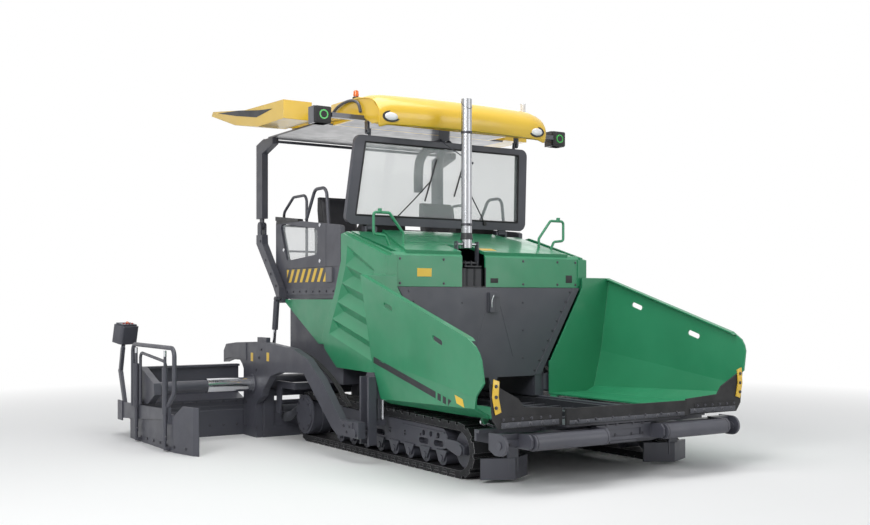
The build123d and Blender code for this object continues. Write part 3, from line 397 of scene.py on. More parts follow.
def tubeMesh(shape, path, radius, sides=12):
    # a round tube along a smooth path through the points given
    points = [Vector(p) for p in path]
    fine = []
    for k in range(len(points) - 1):
        before = points[max(k - 1, 0)]
        after = points[min(k + 2, len(points) - 1)]
        for step in range(6):
            t = step / 6
            fine.append(0.5 * ((2 * points[k]) + (points[k + 1] - before) * t
                               + (2 * before - 5 * points[k] + 4 * points[k + 1] - after) * t * t
                               + (3 * points[k] - before - 3 * points[k + 1] + after) * t ** 3))
    fine.append(points[-1])
    rings = []
    side = None
    for k, place in enumerate(fine):
        run = (fine[min(k + 1, len(fine) - 1)] - fine[max(k - 1, 0)]).normalized()
        if side is None:
            side = run.orthogonal().normalized()
        side = (side - run * side.dot(run)).normalized()
        across = run.cross(side)
        rings.append([shape.verts.new(place + radius * (math.cos(a) * side + math.sin(a) * across))
                      for a in [2 * math.pi * n / sides for n in range(sides)]])
    for first, second in zip(rings, rings[1:]):
        for n in range(sides):
            shape.faces.new([first[n], first[(n + 1) % sides], second[(n + 1) % sides], second[n]])
    shape.faces.new(list(reversed(rings[0])))
    shape.faces.new(rings[-1])


skins = {}


def onSkin(node, start, run):
    # where a line from start along run first meets a solid, and the way the solid faces there
    if node not in skins:
        mesh = frame["nodes"][node].data
        skins[node] = BVHTree.FromPolygons([v.co for v in mesh.vertices], [p.vertices for p in mesh.polygons])
    place, normal, _, _ = skins[node].ray_cast(Vector(start), Vector(run))
    if place is None:
        return None, None
    if normal.dot(Vector(run)) > 0:
        normal = -normal
    return place, normal


def onSkinFrom(node, place, facing):
    # place holds the two measures across the ray, facing its axis and where it starts outside the part
    axis, far = facing
    start, run = list(place), [0, 0, 0]
    start.insert(axis, far)
    run[axis] = -1 if far > 0 else 1
    return onSkin(node, start, run)


def skinPlate(shape, node, corners, facing, thick=0.002):
    # a thin plate that lies on the solid's skin
    found = [onSkinFrom(node, corner, facing) for corner in corners]
    if any(place is None for place, _ in found):
        print("a plate misses", node)
        return
    out = sum((normal for _, normal in found), Vector()).normalized()
    addPlate(shape, [place + out * 0.0005 for place, _ in found], out, thick)


def skinBolts(shape, node, places, facing, radius=0.011):
    for corner in places:
        place, normal = onSkinFrom(node, corner, facing)
        if place is not None:
            addBolt(shape, place, normal, radius)


# where a ray onto the skin comes from
ahead, above = (0, 4.0), (2, 4.0)


def beside(sign):
    return 1, sign * 3.4


def rodPiece(name, finish, body, feet, heights, radius, **look):
    # upright rods on the places given
    shape = bmesh.new()
    for x, y in feet:
        addRod(shape, (x, y, heights[0]), (x, y, heights[1]), radius, **look)
    newPiece(name, shape, finish, body)


def boltPiece(name, body, *rows):
    # each row: the node, the places, where the ray comes from and the bolts' radius
    shape = bmesh.new()
    for row in rows:
        skinBolts(shape, *row)
    newPiece(name, shape, "boltSteel", body)


sides = (("right", -1), ("left", 1))


# blank labels, hazard stripes and the dark band along the hopper wing
signs = {
    "hazard": {"x": (-1.679, -0.665), "z": (1.836, 1.990), "y": (1.250, 1.252)},
    "band": {"run": ((0.86, 1.045), (2.02, 0.770)), "drop": 0.064, "slant": 0.03, "thick": 0.0015,
             "bars": 3, "barLength": 0.05, "barGap": 0.035},
    "wingLabel": {"x": 2.36, "z": 0.80, "wide": 0.12, "tall": 0.075, "fall": 0.03},
    "hoodFront": ((0.79, -0.945, 1.870), (0.7915, -0.770, 1.955)),
    "hoodTop": ((0.60, -0.07), (0.70, -0.07), (0.70, 0.13), (0.60, 0.13)),
    "hoodPlates": (((0.789, -0.02, 1.812), (0.793, 0.08, 1.862)),
                   ((0.789, 1.02, 1.82), (0.792, 1.11, 1.905))),
    "labelThick": 0.001, "plateSoft": 0.002,
}


def makeSigns():
    hazard, band, label = signs["hazard"], signs["band"], signs["wingLabel"]
    for name, sign in sides:
        low, high = zip(hazard["x"], [sign * y for y in hazard["y"]], hazard["z"])
        stripes = bmesh.new()
        addBlock(stripes, low, high, 0)
        newPiece("hazard_stripes_" + name, stripes, "hazardPaint", "tractor")
        wing = "hopper_wing_" + name
        (x0, z0), (x1, z1) = band["run"]
        rise, slant = band["drop"] / 2, band["slant"]
        spans = [(x0 + slant, x1)]
        for bar in range(band["bars"]):
            start = x1 + band["barGap"] + bar * (band["barLength"] + band["barGap"])
            spans.append((start, start + band["barLength"]))
        dark = bmesh.new()
        for near, far in spans:
            nearZ, farZ = (z0 + (z1 - z0) / (x1 - x0) * (x - x0) for x in (near, far))
            skinPlate(dark, wing, [(near, nearZ + rise), (far, farZ + rise), (far - slant, farZ - rise),
                                   (near - slant, nearZ - rise)], beside(sign), band["thick"])
        newPiece("wing_band_" + name, dark, "darkPaint", wing)
        yellow = bmesh.new()
        x, z, end, low = label["x"], label["z"], label["x"] + label["wide"], label["z"] - label["tall"]
        skinPlate(yellow, wing, [(x, z), (end, z - label["fall"]), (end, low - label["fall"]), (x, low)],
                  beside(sign), signs["labelThick"])
        newPiece("wing_label_" + name, yellow, "labelYellow", wing)
    small = bmesh.new()
    addBlock(small, *signs["hoodFront"], 0)
    newPiece("hood_label_front", small, "labelYellow", "tractor")
    top = bmesh.new()
    skinPlate(top, "hood", signs["hoodTop"], above, signs["labelThick"])
    newPiece("hood_label_top", top, "labelYellow", "tractor")
    black = bmesh.new()
    for low, high in signs["hoodPlates"]:
        addBlock(black, low, high, signs["plateSoft"])
    newPiece("hood_plates", black, "blackPlastic", "tractor")


# machine front: bent yellow edge plates, apron strips, and bolts on aprons, push beam and bulkhead
front = {
    "plateX": 2.886, "plateThick": 0.010, "plateSoft": 0.003,
    "plateOutline": ((1.443, 0.945), (1.505, 0.965), (1.517, 0.815), (1.485, 0.665), (1.423, 0.685),
                     (1.455, 0.815)),
    "plateBolts": (2.898, 1.480, (0.725, 0.815, 0.905)),
    "apronBolts": {"count": 6, "y": 0.90, "step": 0.10, "z": 0.62, "radius": 0.009},
    "centreBolts": {"count": 7, "y": -0.60, "step": 0.20, "z": 0.575, "radius": 0.009},
    "sideStrip": {"x": (2.862, 2.892), "y": (0.80, 1.42), "z": (0.548, 0.596), "bolts": 5,
                  "first": 0.86, "step": 0.125, "boltZ": 0.572, "radius": 0.011},
    "centreStrip": {"x": (2.900, 2.914), "y": (-0.70, 0.70), "z": (0.540, 0.578), "bolts": 10,
                    "first": -0.63, "step": 0.14, "boltZ": 0.559, "radius": 0.010},
    "stripSoft": 0.004,
    "beamBolts": {"y": (0.10, 0.22, 1.30), "z": (0.40, 0.50), "radius": 0.012},
    "bulkheadEdge": {"count": 9, "y": (0.56, 1.06), "z": (0.86, 1.72), "radius": 0.010},
    "bulkheadMiddle": {"y": 0.40, "z": (1.00, 1.30, 1.60), "radius": 0.008},
}


def addStrip(strip, sign):
    shape = bmesh.new()
    low, high = zip(strip["x"], [sign * y for y in strip["y"]], strip["z"])
    addBlock(shape, low, high, front["stripSoft"])
    for k in range(strip["bolts"]):
        place = (strip["x"][1], sign * (strip["first"] + strip["step"] * k), strip["boltZ"])
        addBolt(shape, place, (1, 0, 0), strip["radius"])
    return shape


def boltRow(row, sign=1):
    return [(sign * (row["y"] + row["step"] * k), row["z"]) for k in range(row["count"])]


def makeFront():
    for name, sign in sides:
        shape = bmesh.new()
        addPlate(shape, [(front["plateX"], sign * y, z) for y, z in front["plateOutline"]][::sign], (1, 0, 0),
                 front["plateThick"], front["plateSoft"])
        newPiece("edge_plate_" + name, shape, "yellowPaint", "hopper_wing_" + name)
        bolts = bmesh.new()
        x, y, heights = front["plateBolts"]
        for z in heights:
            addBolt(bolts, (x, sign * y, z), (1, 0, 0), plainBolt)
        row = front["apronBolts"]
        skinBolts(bolts, "hopper_apron_" + name, boltRow(row, sign), ahead, row["radius"])
        newPiece("apron_bolts_" + name, bolts, "boltSteel", "hopper_wing_" + name)
    row = front["centreBolts"]
    boltPiece("apron_bolts_centre", "tractor", ("apron_centre", boltRow(row), ahead, row["radius"]))
    for name, sign in sides:
        strip = addStrip(front["sideStrip"], sign)
        newPiece("apron_strip_" + name, strip, "wearSteel", "hopper_wing_" + name)
    newPiece("apron_strip_centre", addStrip(front["centreStrip"], 1), "wearSteel", "tractor")
    row = front["beamBolts"]
    places = [(sign * y, z) for _, sign in sides for y in row["y"] for z in row["z"]]
    boltPiece("beam_bolts", "push_beam", ("push_beam", places, ahead, row["radius"]))
    rows, edge, inner = [], front["bulkheadEdge"], front["bulkheadMiddle"]
    for _, sign in sides:
        for k in range(edge["count"]):
            share = k / (edge["count"] - 1)
            y, z = (low + (high - low) * share for low, high in (edge["y"], edge["z"]))
            rows.append(("bulkhead", [(sign * y, z)], ahead, edge["radius"]))
        rows.append(("bulkhead", [(sign * inner["y"], z) for z in inner["z"]], ahead, inner["radius"]))
    boltPiece("bulkhead_bolts", "tractor", *rows)


# roof: crowned cap with its cheeks, rails, lamps, beacon, aerial trim and the dark swoosh on the wings
cap = {
    "half": 1.125, "columns": 33, "crown": 0.018, "edgeStart": 0.88, "mostDrop": 0.06, "pull": 0.030,
    "thick": 0.012,
    "rings": ((-0.76, 3.862), (-0.50, 3.880), (-0.20, 3.884), (0.04, 3.868), (0.20, 3.826),
              (0.30, 3.752), (0.346, 3.662), (0.338, 3.580), (0.312, 3.500)),  # x and z, rear to brow
}
roof = {
    "cheekY": 1.092, "cheekThick": 0.022, "cheekSoft": 0.008,
    "cheek": ((0.29, 3.505), (0.29, 3.63), (0.15, 3.785), (-0.20, 3.842), (-0.80, 3.852), (-0.80, 3.66),
              (-0.10, 3.64), (0.14, 3.51)),
    "rail": ((-0.78, 1.13, 3.72), (-0.55, 1.14, 3.80), (-0.30, 1.14, 3.82), (-0.12, 1.14, 3.77),
             (-0.06, 1.14, 3.66)),
    "railRadius": 0.016,
    "swoosh": ((-1.10, 3.80), (-1.55, 3.765), (-2.15, 3.865), (-2.75, 3.985), (-2.10, 3.925), (-1.50, 3.84)),
    "beacon": (-0.45, -0.98), "beaconZ": (3.86, 3.90, 3.975), "aerial": (-0.05, 1.06),
}
lampBox = {
    "low": (-0.195, 1.505, 3.500), "high": (-0.055, 1.695, 3.680), "rim": 0.02, "soft": 0.018,
    "back": 0.004, "body": 0.030, "glass": (0.028, 0.034), "face": 0.036, "ring": 0.052, "core": 0.036,
    "fins": 5, "finStep": 0.03, "finDeep": 0.022, "finTall": 0.008, "finInset": 0.015,
}
oval = {"place": (0.318, 0.975, 3.575), "wide": 0.085, "tall": 0.045, "deep": 0.030,
        "rimTall": 1.35, "rimWide": 1.25, "rimDeep": 0.016}


def faceAhead(place):
    return Matrix.Translation(place) @ Matrix.Rotation(math.radians(90), 4, "Y")


def addDisc(shape, place, tall, wide, deep):
    bmesh.ops.create_cone(shape, cap_ends=True, segments=32, radius1=1.0, radius2=1.0, depth=deep,
                          matrix=faceAhead(place) @ Matrix.Diagonal((tall, wide, 1, 1)))


def makeCap():
    shape = bmesh.new()
    grid = []
    for x, z in cap["rings"]:
        row = []
        for k in range(cap["columns"]):
            across = -1 + 2 * k / (cap["columns"] - 1)
            drop = cap["crown"] * abs(across) ** 2 + max(0, abs(across) - cap["edgeStart"]) ** 1.5
            pull = cap["pull"] * abs(across) ** 4
            row.append(shape.verts.new((x - pull, across * cap["half"], z - min(drop, cap["mostDrop"]))))
        grid.append(row)
    for first, second in zip(grid, grid[1:]):
        for k in range(cap["columns"] - 1):
            shape.faces.new([first[k], first[k + 1], second[k + 1], second[k]])
    bmesh.ops.recalc_face_normals(shape, faces=shape.faces)
    piece = newPiece("roof_cap", shape, "yellowPaint", "canopy", 60)
    shell = piece.modifiers.new("thickness", "SOLIDIFY")
    shell.thickness = cap["thick"]
    shell.offset = 0
    smooth = piece.modifiers.new("smooth", "SUBSURF")
    smooth.levels = smooth.render_levels = 1


def addSquareLamp(sign, housing, lens, glow):
    (x0, y0, z0), (x1, y1, z1), rim = lampBox["low"], lampBox["high"], lampBox["rim"]
    addBlock(housing, (x0 - lampBox["back"], sign * y0, z0), (x1 + lampBox["body"], sign * y1, z1),
             lampBox["soft"])
    near, far = lampBox["glass"]
    addBlock(lens, (x1 + near, sign * (y0 + rim), z0 + rim), (x1 + far, sign * (y1 - rim), z1 - rim), 0.004)
    centre = Vector((x1 + lampBox["face"], sign * (y0 + y1) / 2, (z0 + z1) / 2))
    addDisc(glow, centre, lampBox["ring"], lampBox["ring"], 0.004)
    addDisc(lens, centre, lampBox["core"], lampBox["core"], 0.006)
    # cooling fins behind the lamp
    inset = lampBox["finInset"]
    for fin in range(lampBox["fins"]):
        z = z0 + lampBox["finStep"] * (fin + 1)
        addBlock(housing, (x0 - lampBox["finDeep"], sign * (y0 + inset), z),
                 (x0, sign * (y1 - inset), z + lampBox["finTall"]), 0.002)


def addRoundLamp(sign, housing, chrome):
    # oval headlamp under the cap's brow
    x, y, z = oval["place"]
    place, tall, wide = Vector((x, sign * y, z)), oval["tall"], oval["wide"]
    bmesh.ops.create_uvsphere(chrome, u_segments=24, v_segments=12, radius=1.0,
                              matrix=faceAhead(place) @ Matrix.Diagonal((tall, wide, oval["deep"], 1)))
    addDisc(housing, place, tall * oval["rimTall"], wide * oval["rimWide"], oval["rimDeep"])


def makeRoof():
    makeCap()
    cheeks, rails, lens, housing, glow, chrome = (bmesh.new() for _ in range(6))
    for _, sign in sides:
        addPlate(cheeks, [(x, sign * roof["cheekY"], z) for x, z in roof["cheek"]][::-sign], (0, sign, 0),
                 roof["cheekThick"], roof["cheekSoft"])
        addSquareLamp(sign, housing, lens, glow)
        addRoundLamp(sign, housing, chrome)
        tubeMesh(rails, [(x, sign * y, z) for x, y, z in roof["rail"]], roof["railRadius"], 12)
    newPiece("roof_rails", rails, "grayPaint", "canopy")
    newPiece("roof_cheeks", cheeks, "yellowPaint", "canopy")
    newPiece("lamp_housings", housing, "blackPlastic", "canopy")
    newPiece("lamp_lenses", lens, "blackPlastic", "canopy")
    newPiece("lamp_rings", glow, "lampGreen", "canopy")
    newPiece("head_lamps", chrome, "lampWhite", "canopy")
    for name, sign in sides:
        swoosh = bmesh.new()
        wing = "canopy_wing_" + name
        skinPlate(swoosh, wing, roof["swoosh"], beside(sign), 0.0015)
        newPiece("roof_swoosh_" + name, swoosh, "darkPaint", wing)
    foot, (low, middle, high) = roof["beacon"], roof["beaconZ"]
    rodPiece("beacon_base", "blackPlastic", "canopy", [foot], (low, middle), 0.040, sides=24, soft=0.004)
    rodPiece("beacon_dome", "lampOrange", "canopy", [foot], (middle, high), 0.034, endRadius=0.028, sides=24,
             soft=0.010)
    x, y = roof["aerial"]
    trim = bmesh.new()
    addRod(trim, (x, y, 3.955), (x, y, 3.965), 0.034, sides=20, soft=0.003)
    addRod(trim, (x, y, 3.78), (x, y, 3.80), 0.046, sides=20, soft=0.004)
    newPiece("aerial_trim", trim, "chrome", "canopy")


# window gear: wipers, the seal round the glass and the ducts behind it
screen = {
    "foot": (-0.270, 2.425), "lean": (0.14, 1.05), "wipers": ((-0.62, 20), (0.62, -16)),
    "arm": 0.62, "armFoot": 0.16, "sweep": 2.4,
    "hub": {"up": 0.11, "out": (0.020, 0.052), "radius": 0.022},
    "armOut": (0.045, 0.050, 0.030), "armRadius": 0.007,
    "blade": {"across": 0.06, "up": 0.24, "out": 0.016}, "rubber": 0.009,
    "glassCorners": ((-1.108, 0.142), (1.108, 0.142), (1.043, 0.943), (-1.043, 0.943)), "sealOut": 0.030,
}
ducts = (
    {"x": -0.62, "radius": 0.055,
     "path": ((0.30, 3.50), (0.12, 3.44), (-0.02, 3.30), (-0.05, 3.10), (-0.05, 2.90))},
    {"x": -0.66, "radius": 0.045, "path": ((0.42, 3.52), (0.30, 3.40), (0.27, 3.15), (0.27, 2.85))},
)


def onScreen(y, up, out=0.0):
    lean = Vector((screen["lean"][0], 0, screen["lean"][1])).normalized()
    outward = Vector((lean.z, 0, -lean.x))
    return Vector((screen["foot"][0], y, screen["foot"][1])) + lean * up + outward * out


def makeScreen():
    arms, hub, blade = bmesh.new(), screen["hub"], screen["blade"]
    for footY, swing in screen["wipers"]:
        reach = math.radians(swing) * screen["sweep"]
        tipY = footY + screen["arm"] * math.sin(reach)
        tipUp = screen["armFoot"] + screen["arm"] * math.cos(reach)
        near, far = (onScreen(footY, hub["up"], out) for out in hub["out"])
        addRod(arms, near, far, hub["radius"], sides=20, soft=0.003)
        start, middle, end = screen["armOut"]
        bend = onScreen((footY + tipY) / 2, (hub["up"] + tipUp) / 2, middle)
        path = [onScreen(footY, hub["up"], start), bend, onScreen(tipY, tipUp, end)]
        tubeMesh(arms, path, screen["armRadius"], 8)
        low, high = (onScreen(tipY + way * blade["across"], tipUp + way * blade["up"], blade["out"])
                     for way in (-1, 1))
        addRod(arms, low, high, screen["rubber"], sides=8)
    newPiece("wipers", arms, "blackPlastic", "windscreen")
    seal, corners = bmesh.new(), screen["glassCorners"]
    for first, second in zip(corners, corners[1:] + corners[:1]):
        for out in (-screen["sealOut"], screen["sealOut"]):
            addRod(seal, onScreen(*first, out), onScreen(*second, out), screen["rubber"], sides=8)
    newPiece("screen_seal", seal, "rubber", "windscreen")
    pipes = bmesh.new()
    for duct in ducts:
        tubeMesh(pipes, [(duct["x"], y, z) for y, z in duct["path"]], duct["radius"], 20)
    newPiece("roof_ducts", pipes, "grayPaint", "canopy")


# exhaust: clamps, foot and the dark slanted mouth, whose black is the pipe's soot and painted shade inside
# the open pipe
pipe = {
    "x": 0.650, "y": -0.235, "radius": 0.0572, "clamps": (2.42, 3.405), "clampTall": 0.028, "clampOut": 0.004,
    "lug": {"out": (0.050, 0.082), "half": 0.012, "inset": 0.003},
    "foot": (2.275, 2.345), "footOut": (0.010, 0.002),
    "mouth": {"radius": 0.060, "z": 3.722, "slant": 0.052, "out": (0.65, 0, 0.76), "thick": 0.003,
              "corners": 32},
}


def makePipe():
    x, y, radius, lug, mouth = pipe["x"], pipe["y"], pipe["radius"], pipe["lug"], pipe["mouth"]
    shape = bmesh.new()
    for z in pipe["clamps"]:
        top = z + pipe["clampTall"]
        addRod(shape, (x, y, z), (x, y, top), radius + pipe["clampOut"], sides=40, soft=0.002)
        addBlock(shape, (x + lug["out"][0], y - lug["half"], z + lug["inset"]),
                 (x + lug["out"][1], y + lug["half"], top - lug["inset"]), 0.003)
    newPiece("pipe_clamps", shape, "boltSteel", "exhaust")
    foot = bmesh.new()
    low, high = pipe["foot"]
    addRod(foot, (x, y, low), (x, y, high), *(radius + out for out in pipe["footOut"]), sides=40)
    newPiece("pipe_foot", foot, "darkPaint", "exhaust")
    # a black disc on the slanted cut: soot, and painted shade where the open mouth goes down into the pipe
    hole = bmesh.new()
    ring = [2 * math.pi * n / mouth["corners"] for n in range(mouth["corners"])]
    addPlate(hole, [(x + mouth["radius"] * math.cos(a), y + mouth["radius"] * math.sin(a),
                     mouth["z"] - mouth["slant"] * math.cos(a)) for a in ring], mouth["out"], mouth["thick"])
    newPiece("pipe_mouth", hole, "blackPlastic", "exhaust")


# seats: crowned cushions with sewn channels, each on four corners from the seat's middle line
cushion = {
    "cells": 14, "levels": (0.0, 0.35, 0.75, 1.0), "bulge": 0.035, "topDraw": 0.05, "edgeReach": 2.2,
    "edgePower": 2.4,
    "seamDeep": 0.0042, "crossSeam": (0.5, 0.04), "sideSeams": (0.28, 0.72), "sideSeamHalf": 0.035,
}
seats = {
    "y": 0.72, "cushionHalf": 0.250, "cushionThick": 0.040, "cushionCrown": 0.028,
    "cushionRun": ((-1.36, 2.205), (-0.905, 2.215)),
    "backHalf": 0.228, "backThick": 0.030, "backCrown": 0.030, "backRun": ((-1.288, 2.27), (-1.395, 2.83)),
}


def padPoint(corners, u, v, level, thick, out, crown):
    # the sides pull in between the corners; the top is raised in the middle and sunk along its seams
    place = corners[0].lerp(corners[1], u).lerp(corners[3].lerp(corners[2], u), v)
    edge = min(u, 1 - u, v, 1 - v) * 2
    dome = 1 - (1 - min(edge * cushion["edgeReach"], 1)) ** cushion["edgePower"]
    middle = (corners[0] + corners[1] + corners[2] + corners[3]) / 4
    sideways = (1 - abs(level - 0.5) * 2) * -cushion["bulge"] + cushion["topDraw"] * level ** 3 * (1 - dome)
    rise = thick * level
    if level == 1.0:
        cross, crossHalf = cushion["crossSeam"]
        onSide = any(abs(u - side) < cushion["sideSeamHalf"] for side in cushion["sideSeams"])
        seam = onSide or abs(v - cross) < crossHalf
        rise += crown * dome - (cushion["seamDeep"] if seam else 0.0)
    return place + (middle - place) * sideways + out * rise


def pad(name, corners, thick, out, crown):
    shape = bmesh.new()
    count = cushion["cells"]
    corners = [Vector(c) for c in corners]
    out = Vector(out).normalized()
    layers = [[[shape.verts.new(padPoint(corners, i / count, j / count, level, thick, out, crown))
                for j in range(count + 1)] for i in range(count + 1)] for level in cushion["levels"]]
    for isTop, rows in ((False, layers[0]), (True, layers[-1])):
        for i in range(count):
            for j in range(count):
                face = [rows[i][j], rows[i + 1][j], rows[i + 1][j + 1], rows[i][j + 1]]
                shape.faces.new(face if isTop else face[::-1])
    ring = [(i, 0) for i in range(count)] + [(count, j) for j in range(count)] \
        + [(i, count) for i in range(count, 0, -1)] + [(0, j) for j in range(count, 0, -1)]
    for lower, upper in zip(layers, layers[1:]):
        for (a, b), (c, d) in zip(ring, ring[1:] + ring[:1]):
            shape.faces.new([lower[a][b], lower[c][d], upper[c][d], upper[a][b]])
    loose = [v for v in shape.verts if not v.link_faces]
    bmesh.ops.delete(shape, geom=loose, context="VERTS")
    bmesh.ops.recalc_face_normals(shape, faces=shape.faces)
    piece = newPiece(name, shape, "seatVinyl", "tractor", 180)
    smooth = piece.modifiers.new("smooth", "SUBSURF")
    smooth.levels = smooth.render_levels = 1


def seatCorners(run, middle, half):
    (x0, z0), (x1, z1) = run
    return [(x0, middle - half, z0), (x1, middle - half, z1),
            (x1, middle + half, z1), (x0, middle + half, z0)]


def makeSeats():
    for name, sign in sides:
        middle = sign * seats["y"]
        pad("seat_cushion_" + name, seatCorners(seats["cushionRun"], middle, seats["cushionHalf"]),
            seats["cushionThick"], (0, 0, 1), seats["cushionCrown"])
        pad("seat_back_" + name, seatCorners(seats["backRun"], middle, seats["backHalf"])[::-1],
            seats["backThick"], (1, 0, 0.2), seats["backCrown"])


# undercarriage: bolts and ends of the track shoes, and bolts of the frame and the sprocket's cover
tracks = {
    "pitch": 0.134, "shoes": 23, "boltX": -0.95, "middle": 1.1225, "boltHalf": 0.10, "rayZ": 0.545,
    "ends": 22, "endX": -0.93, "outer": 1.2725, "endSoft": 0.003,
    # low and high corners, and depth
    "endBlocks": (((0.0, 0.010), (0.100, 0.030), 0.008), ((0.018, 0.030), (0.082, 0.056), 0.006)),
    "frameX": range(-700, 1800, 290), "frameZ": (0.300, 0.330),
    "cover": (-1.075, 0.315), "coverRing": 0.17, "coverBolts": 8,
}


def dressTrack(name, sign):
    shape = bmesh.new()
    for k in range(tracks["shoes"]):
        for across in (-tracks["boltHalf"], tracks["boltHalf"]):
            x, y = tracks["boltX"] + k * tracks["pitch"], sign * tracks["middle"] + across
            start = (x, y, tracks["rayZ"])
            place, normal = onSkin("track_" + name, start, (0, 0, -1))
            if place is not None and normal.z > 0.9:
                addBolt(shape, place, normal, fineBolt, 0.006)
    newPiece("shoe_bolts_" + name, shape, "boltSteel", "tractor")
    ends = bmesh.new()
    edge = sign * tracks["outer"]
    for k in range(tracks["ends"]):
        x = tracks["endX"] + k * tracks["pitch"]
        for (x0, z0), (x1, z1), deep in tracks["endBlocks"]:
            addBlock(ends, (x + x0, edge, z0), (x + x1, edge + sign * deep, z1), tracks["endSoft"])
    newPiece("shoe_ends_" + name, ends, "trackSteel", "tractor")
    rows = [(x / 1000, z) for x in tracks["frameX"] for z in tracks["frameZ"]]
    (x, z), radius, count = tracks["cover"], tracks["coverRing"], tracks["coverBolts"]
    turns = [2 * math.pi * k / count for k in range(count)]
    ring = [(x + radius * math.cos(turn), z + radius * math.sin(turn)) for turn in turns]
    boltPiece("frame_bolts_" + name, "tractor", ("undercarriage", rows, beside(sign), plainBolt),
              ("undercarriage", ring, beside(sign), coverBolt))


# tow arms: bolts, blank labels and the levelling rods ahead of them
towArms = {
    "bolts": ((0.64, 0.36), (0.52, 0.36), (0.58, 0.30), (-1.55, 1.05), (-1.62, 0.95), (-1.70, 0.80),
              (-1.70, 0.40), (-2.0, 0.40), (-1.70, 0.12), (-2.0, 0.12)),
    "labels": ((-1.40, 1.02), (-1.86, 1.00)), "labelSize": (0.07, 0.10),
    "rods": (0.747, 0.781), "rodY": 1.345, "rodZ": (0.43, 0.638), "rodRadius": 0.0125,
}


def dressArm(name, sign):
    boltPiece("arm_bolts_" + name, "screed", ("tow_arm_" + name, towArms["bolts"], beside(sign), heavyBolt))
    marks, (wide, tall) = bmesh.new(), towArms["labelSize"]
    for x, z in towArms["labels"]:
        corners = [(x, z), (x + wide, z), (x + wide, z - tall), (x, z - tall)]
        skinPlate(marks, "tow_arm_" + name, corners, beside(sign), signs["labelThick"])
    newPiece("arm_labels_" + name, marks, "labelYellow", "screed")
    feet = [(x, sign * towArms["rodY"]) for x in towArms["rods"]]
    rodPiece("levelling_rods_" + name, "chrome", "tractor", feet, towArms["rodZ"], towArms["rodRadius"])


# platform side: skirt and post bolts, round latches and the side window
panels = {
    "skirtX": range(-1650, -430, 170), "skirtZ": 1.728,
    "post": ((-1.80, 1.80), (-1.95, 1.95), (-2.10, 2.12), (-2.26, 2.36)),
    "latches": ((-0.805, 2.479), (-0.805, 2.071), (-1.767, 2.234)), "latchY": (1.249, 1.258),
    "latchRadius": 0.022,
    "window": ((-0.875, 2.155), (-0.875, 2.435), (-1.86, 2.545), (-1.685, 2.11)), "windowY": 1.222,
    "windowThick": 0.005,
}


def dressPlatform(name, sign):
    row = [(x / 1000, panels["skirtZ"]) for x in panels["skirtX"]]
    boltPiece("skirt_bolts_" + name, "tractor", ("platform", row, beside(sign), plainBolt),
              ("platform", panels["post"], beside(sign), heavyBolt))
    latches = bmesh.new()
    inner, outer = panels["latchY"]
    for x, z in panels["latches"]:
        addRod(latches, (x, sign * inner, z), (x, sign * outer, z), panels["latchRadius"], sides=24,
               soft=0.003)
    newPiece("panel_latches_" + name, latches, "chrome", "tractor")
    pane = bmesh.new()
    corners = [(x, sign * panels["windowY"], z) for x, z in panels["window"]]
    addPlate(pane, corners[::-sign], (0, sign, 0), panels["windowThick"])
    newPiece("side_window_" + name, pane, "clearGlass", "tractor")


def makeTracks():
    for name, sign in sides:
        dressTrack(name, sign)
        dressArm(name, sign)
        dressPlatform(name, sign)


# screed: walkway tread, gate bolts, spindle sleeves, control station and the lines along the arm
bars = {"rows": 9, "columns": 12, "x": -2.90, "y": 1.75, "stepX": 0.038, "stepY": 0.088,
        "half": (0.016, 0.003), "z": (0.369, 0.373), "turn": 45}
gates = {
    "lowX": range(-2300, -700, 220), "lowZ": 0.060, "rearY": range(1720, 2760, 170), "rearZ": (0.130, 0.415),
    "sleeveX": (-2.118, -1.125), "sleeveY": 2.942, "sleeveZ": (1.02, 1.082), "sleeveRadius": 0.017,
}
station = {
    "knob": (-2.93, 2.80, 1.345), "knobRadius": 0.024,
    "keys": 4, "keyX": -2.86, "keyY": 2.76, "keyStep": 0.035, "keyZ": (1.336, 1.352), "keyRadius": 0.011,
}
armLines = {
    "count": 3, "y": 1.545, "step": 0.022, "radius": 0.009,
    # x, inset from the line's y, z
    "path": ((0.30, 0.06, 0.52), (-0.10, 0.06, 0.80), (-0.70, 0.04, 1.03), (-1.25, 0.03, 1.06),
             (-1.60, 0.03, 1.02)),
}


def dressGate(name, sign, body):
    halfX, halfY = bars["half"]
    low, high = bars["z"]
    tread = bmesh.new()
    for k in range(bars["rows"]):
        for m in range(bars["columns"]):
            x, y = bars["x"] + k * bars["stepX"], sign * (bars["y"] + m * bars["stepY"])
            way = 1 if (k + m) % 2 else -1
            turn = Matrix.Rotation(math.radians(way * bars["turn"]), 4, "Z")
            addBlock(tread, (x - halfX, y - halfY, low), (x + halfX, y + halfY, high), 0, turn)
    newPiece("walkway_tread_" + name, tread, "wearSteel", body)
    foot = [(x / 1000, gates["lowZ"]) for x in gates["lowX"]]
    rear = [(sign * y / 1000, z) for y in gates["rearY"] for z in gates["rearZ"]]
    boltPiece("gate_bolts_" + name, body, (body, foot, beside(sign), heavyBolt),
              (body, rear, ahead, plainBolt))
    feet = [(x, sign * gates["sleeveY"]) for x in gates["sleeveX"]]
    rodPiece("spindle_sleeves_" + name, "chrome", body, feet, gates["sleeveZ"], gates["sleeveRadius"])


def dressStation(name, sign, body):
    knob = bmesh.new()
    x, y, z = station["knob"]
    bmesh.ops.create_uvsphere(knob, u_segments=20, v_segments=12, radius=station["knobRadius"],
                              matrix=Matrix.Translation((x, sign * y, z)))
    newPiece("station_knob_" + name, knob, "lampOrange", body)
    x, first, step = station["keyX"], station["keyY"], station["keyStep"]
    feet = [(x, sign * (first + k * step)) for k in range(station["keys"])]
    rodPiece("station_keys_" + name, "redPlastic", body, feet, station["keyZ"], station["keyRadius"],
             sides=16, soft=0.002)


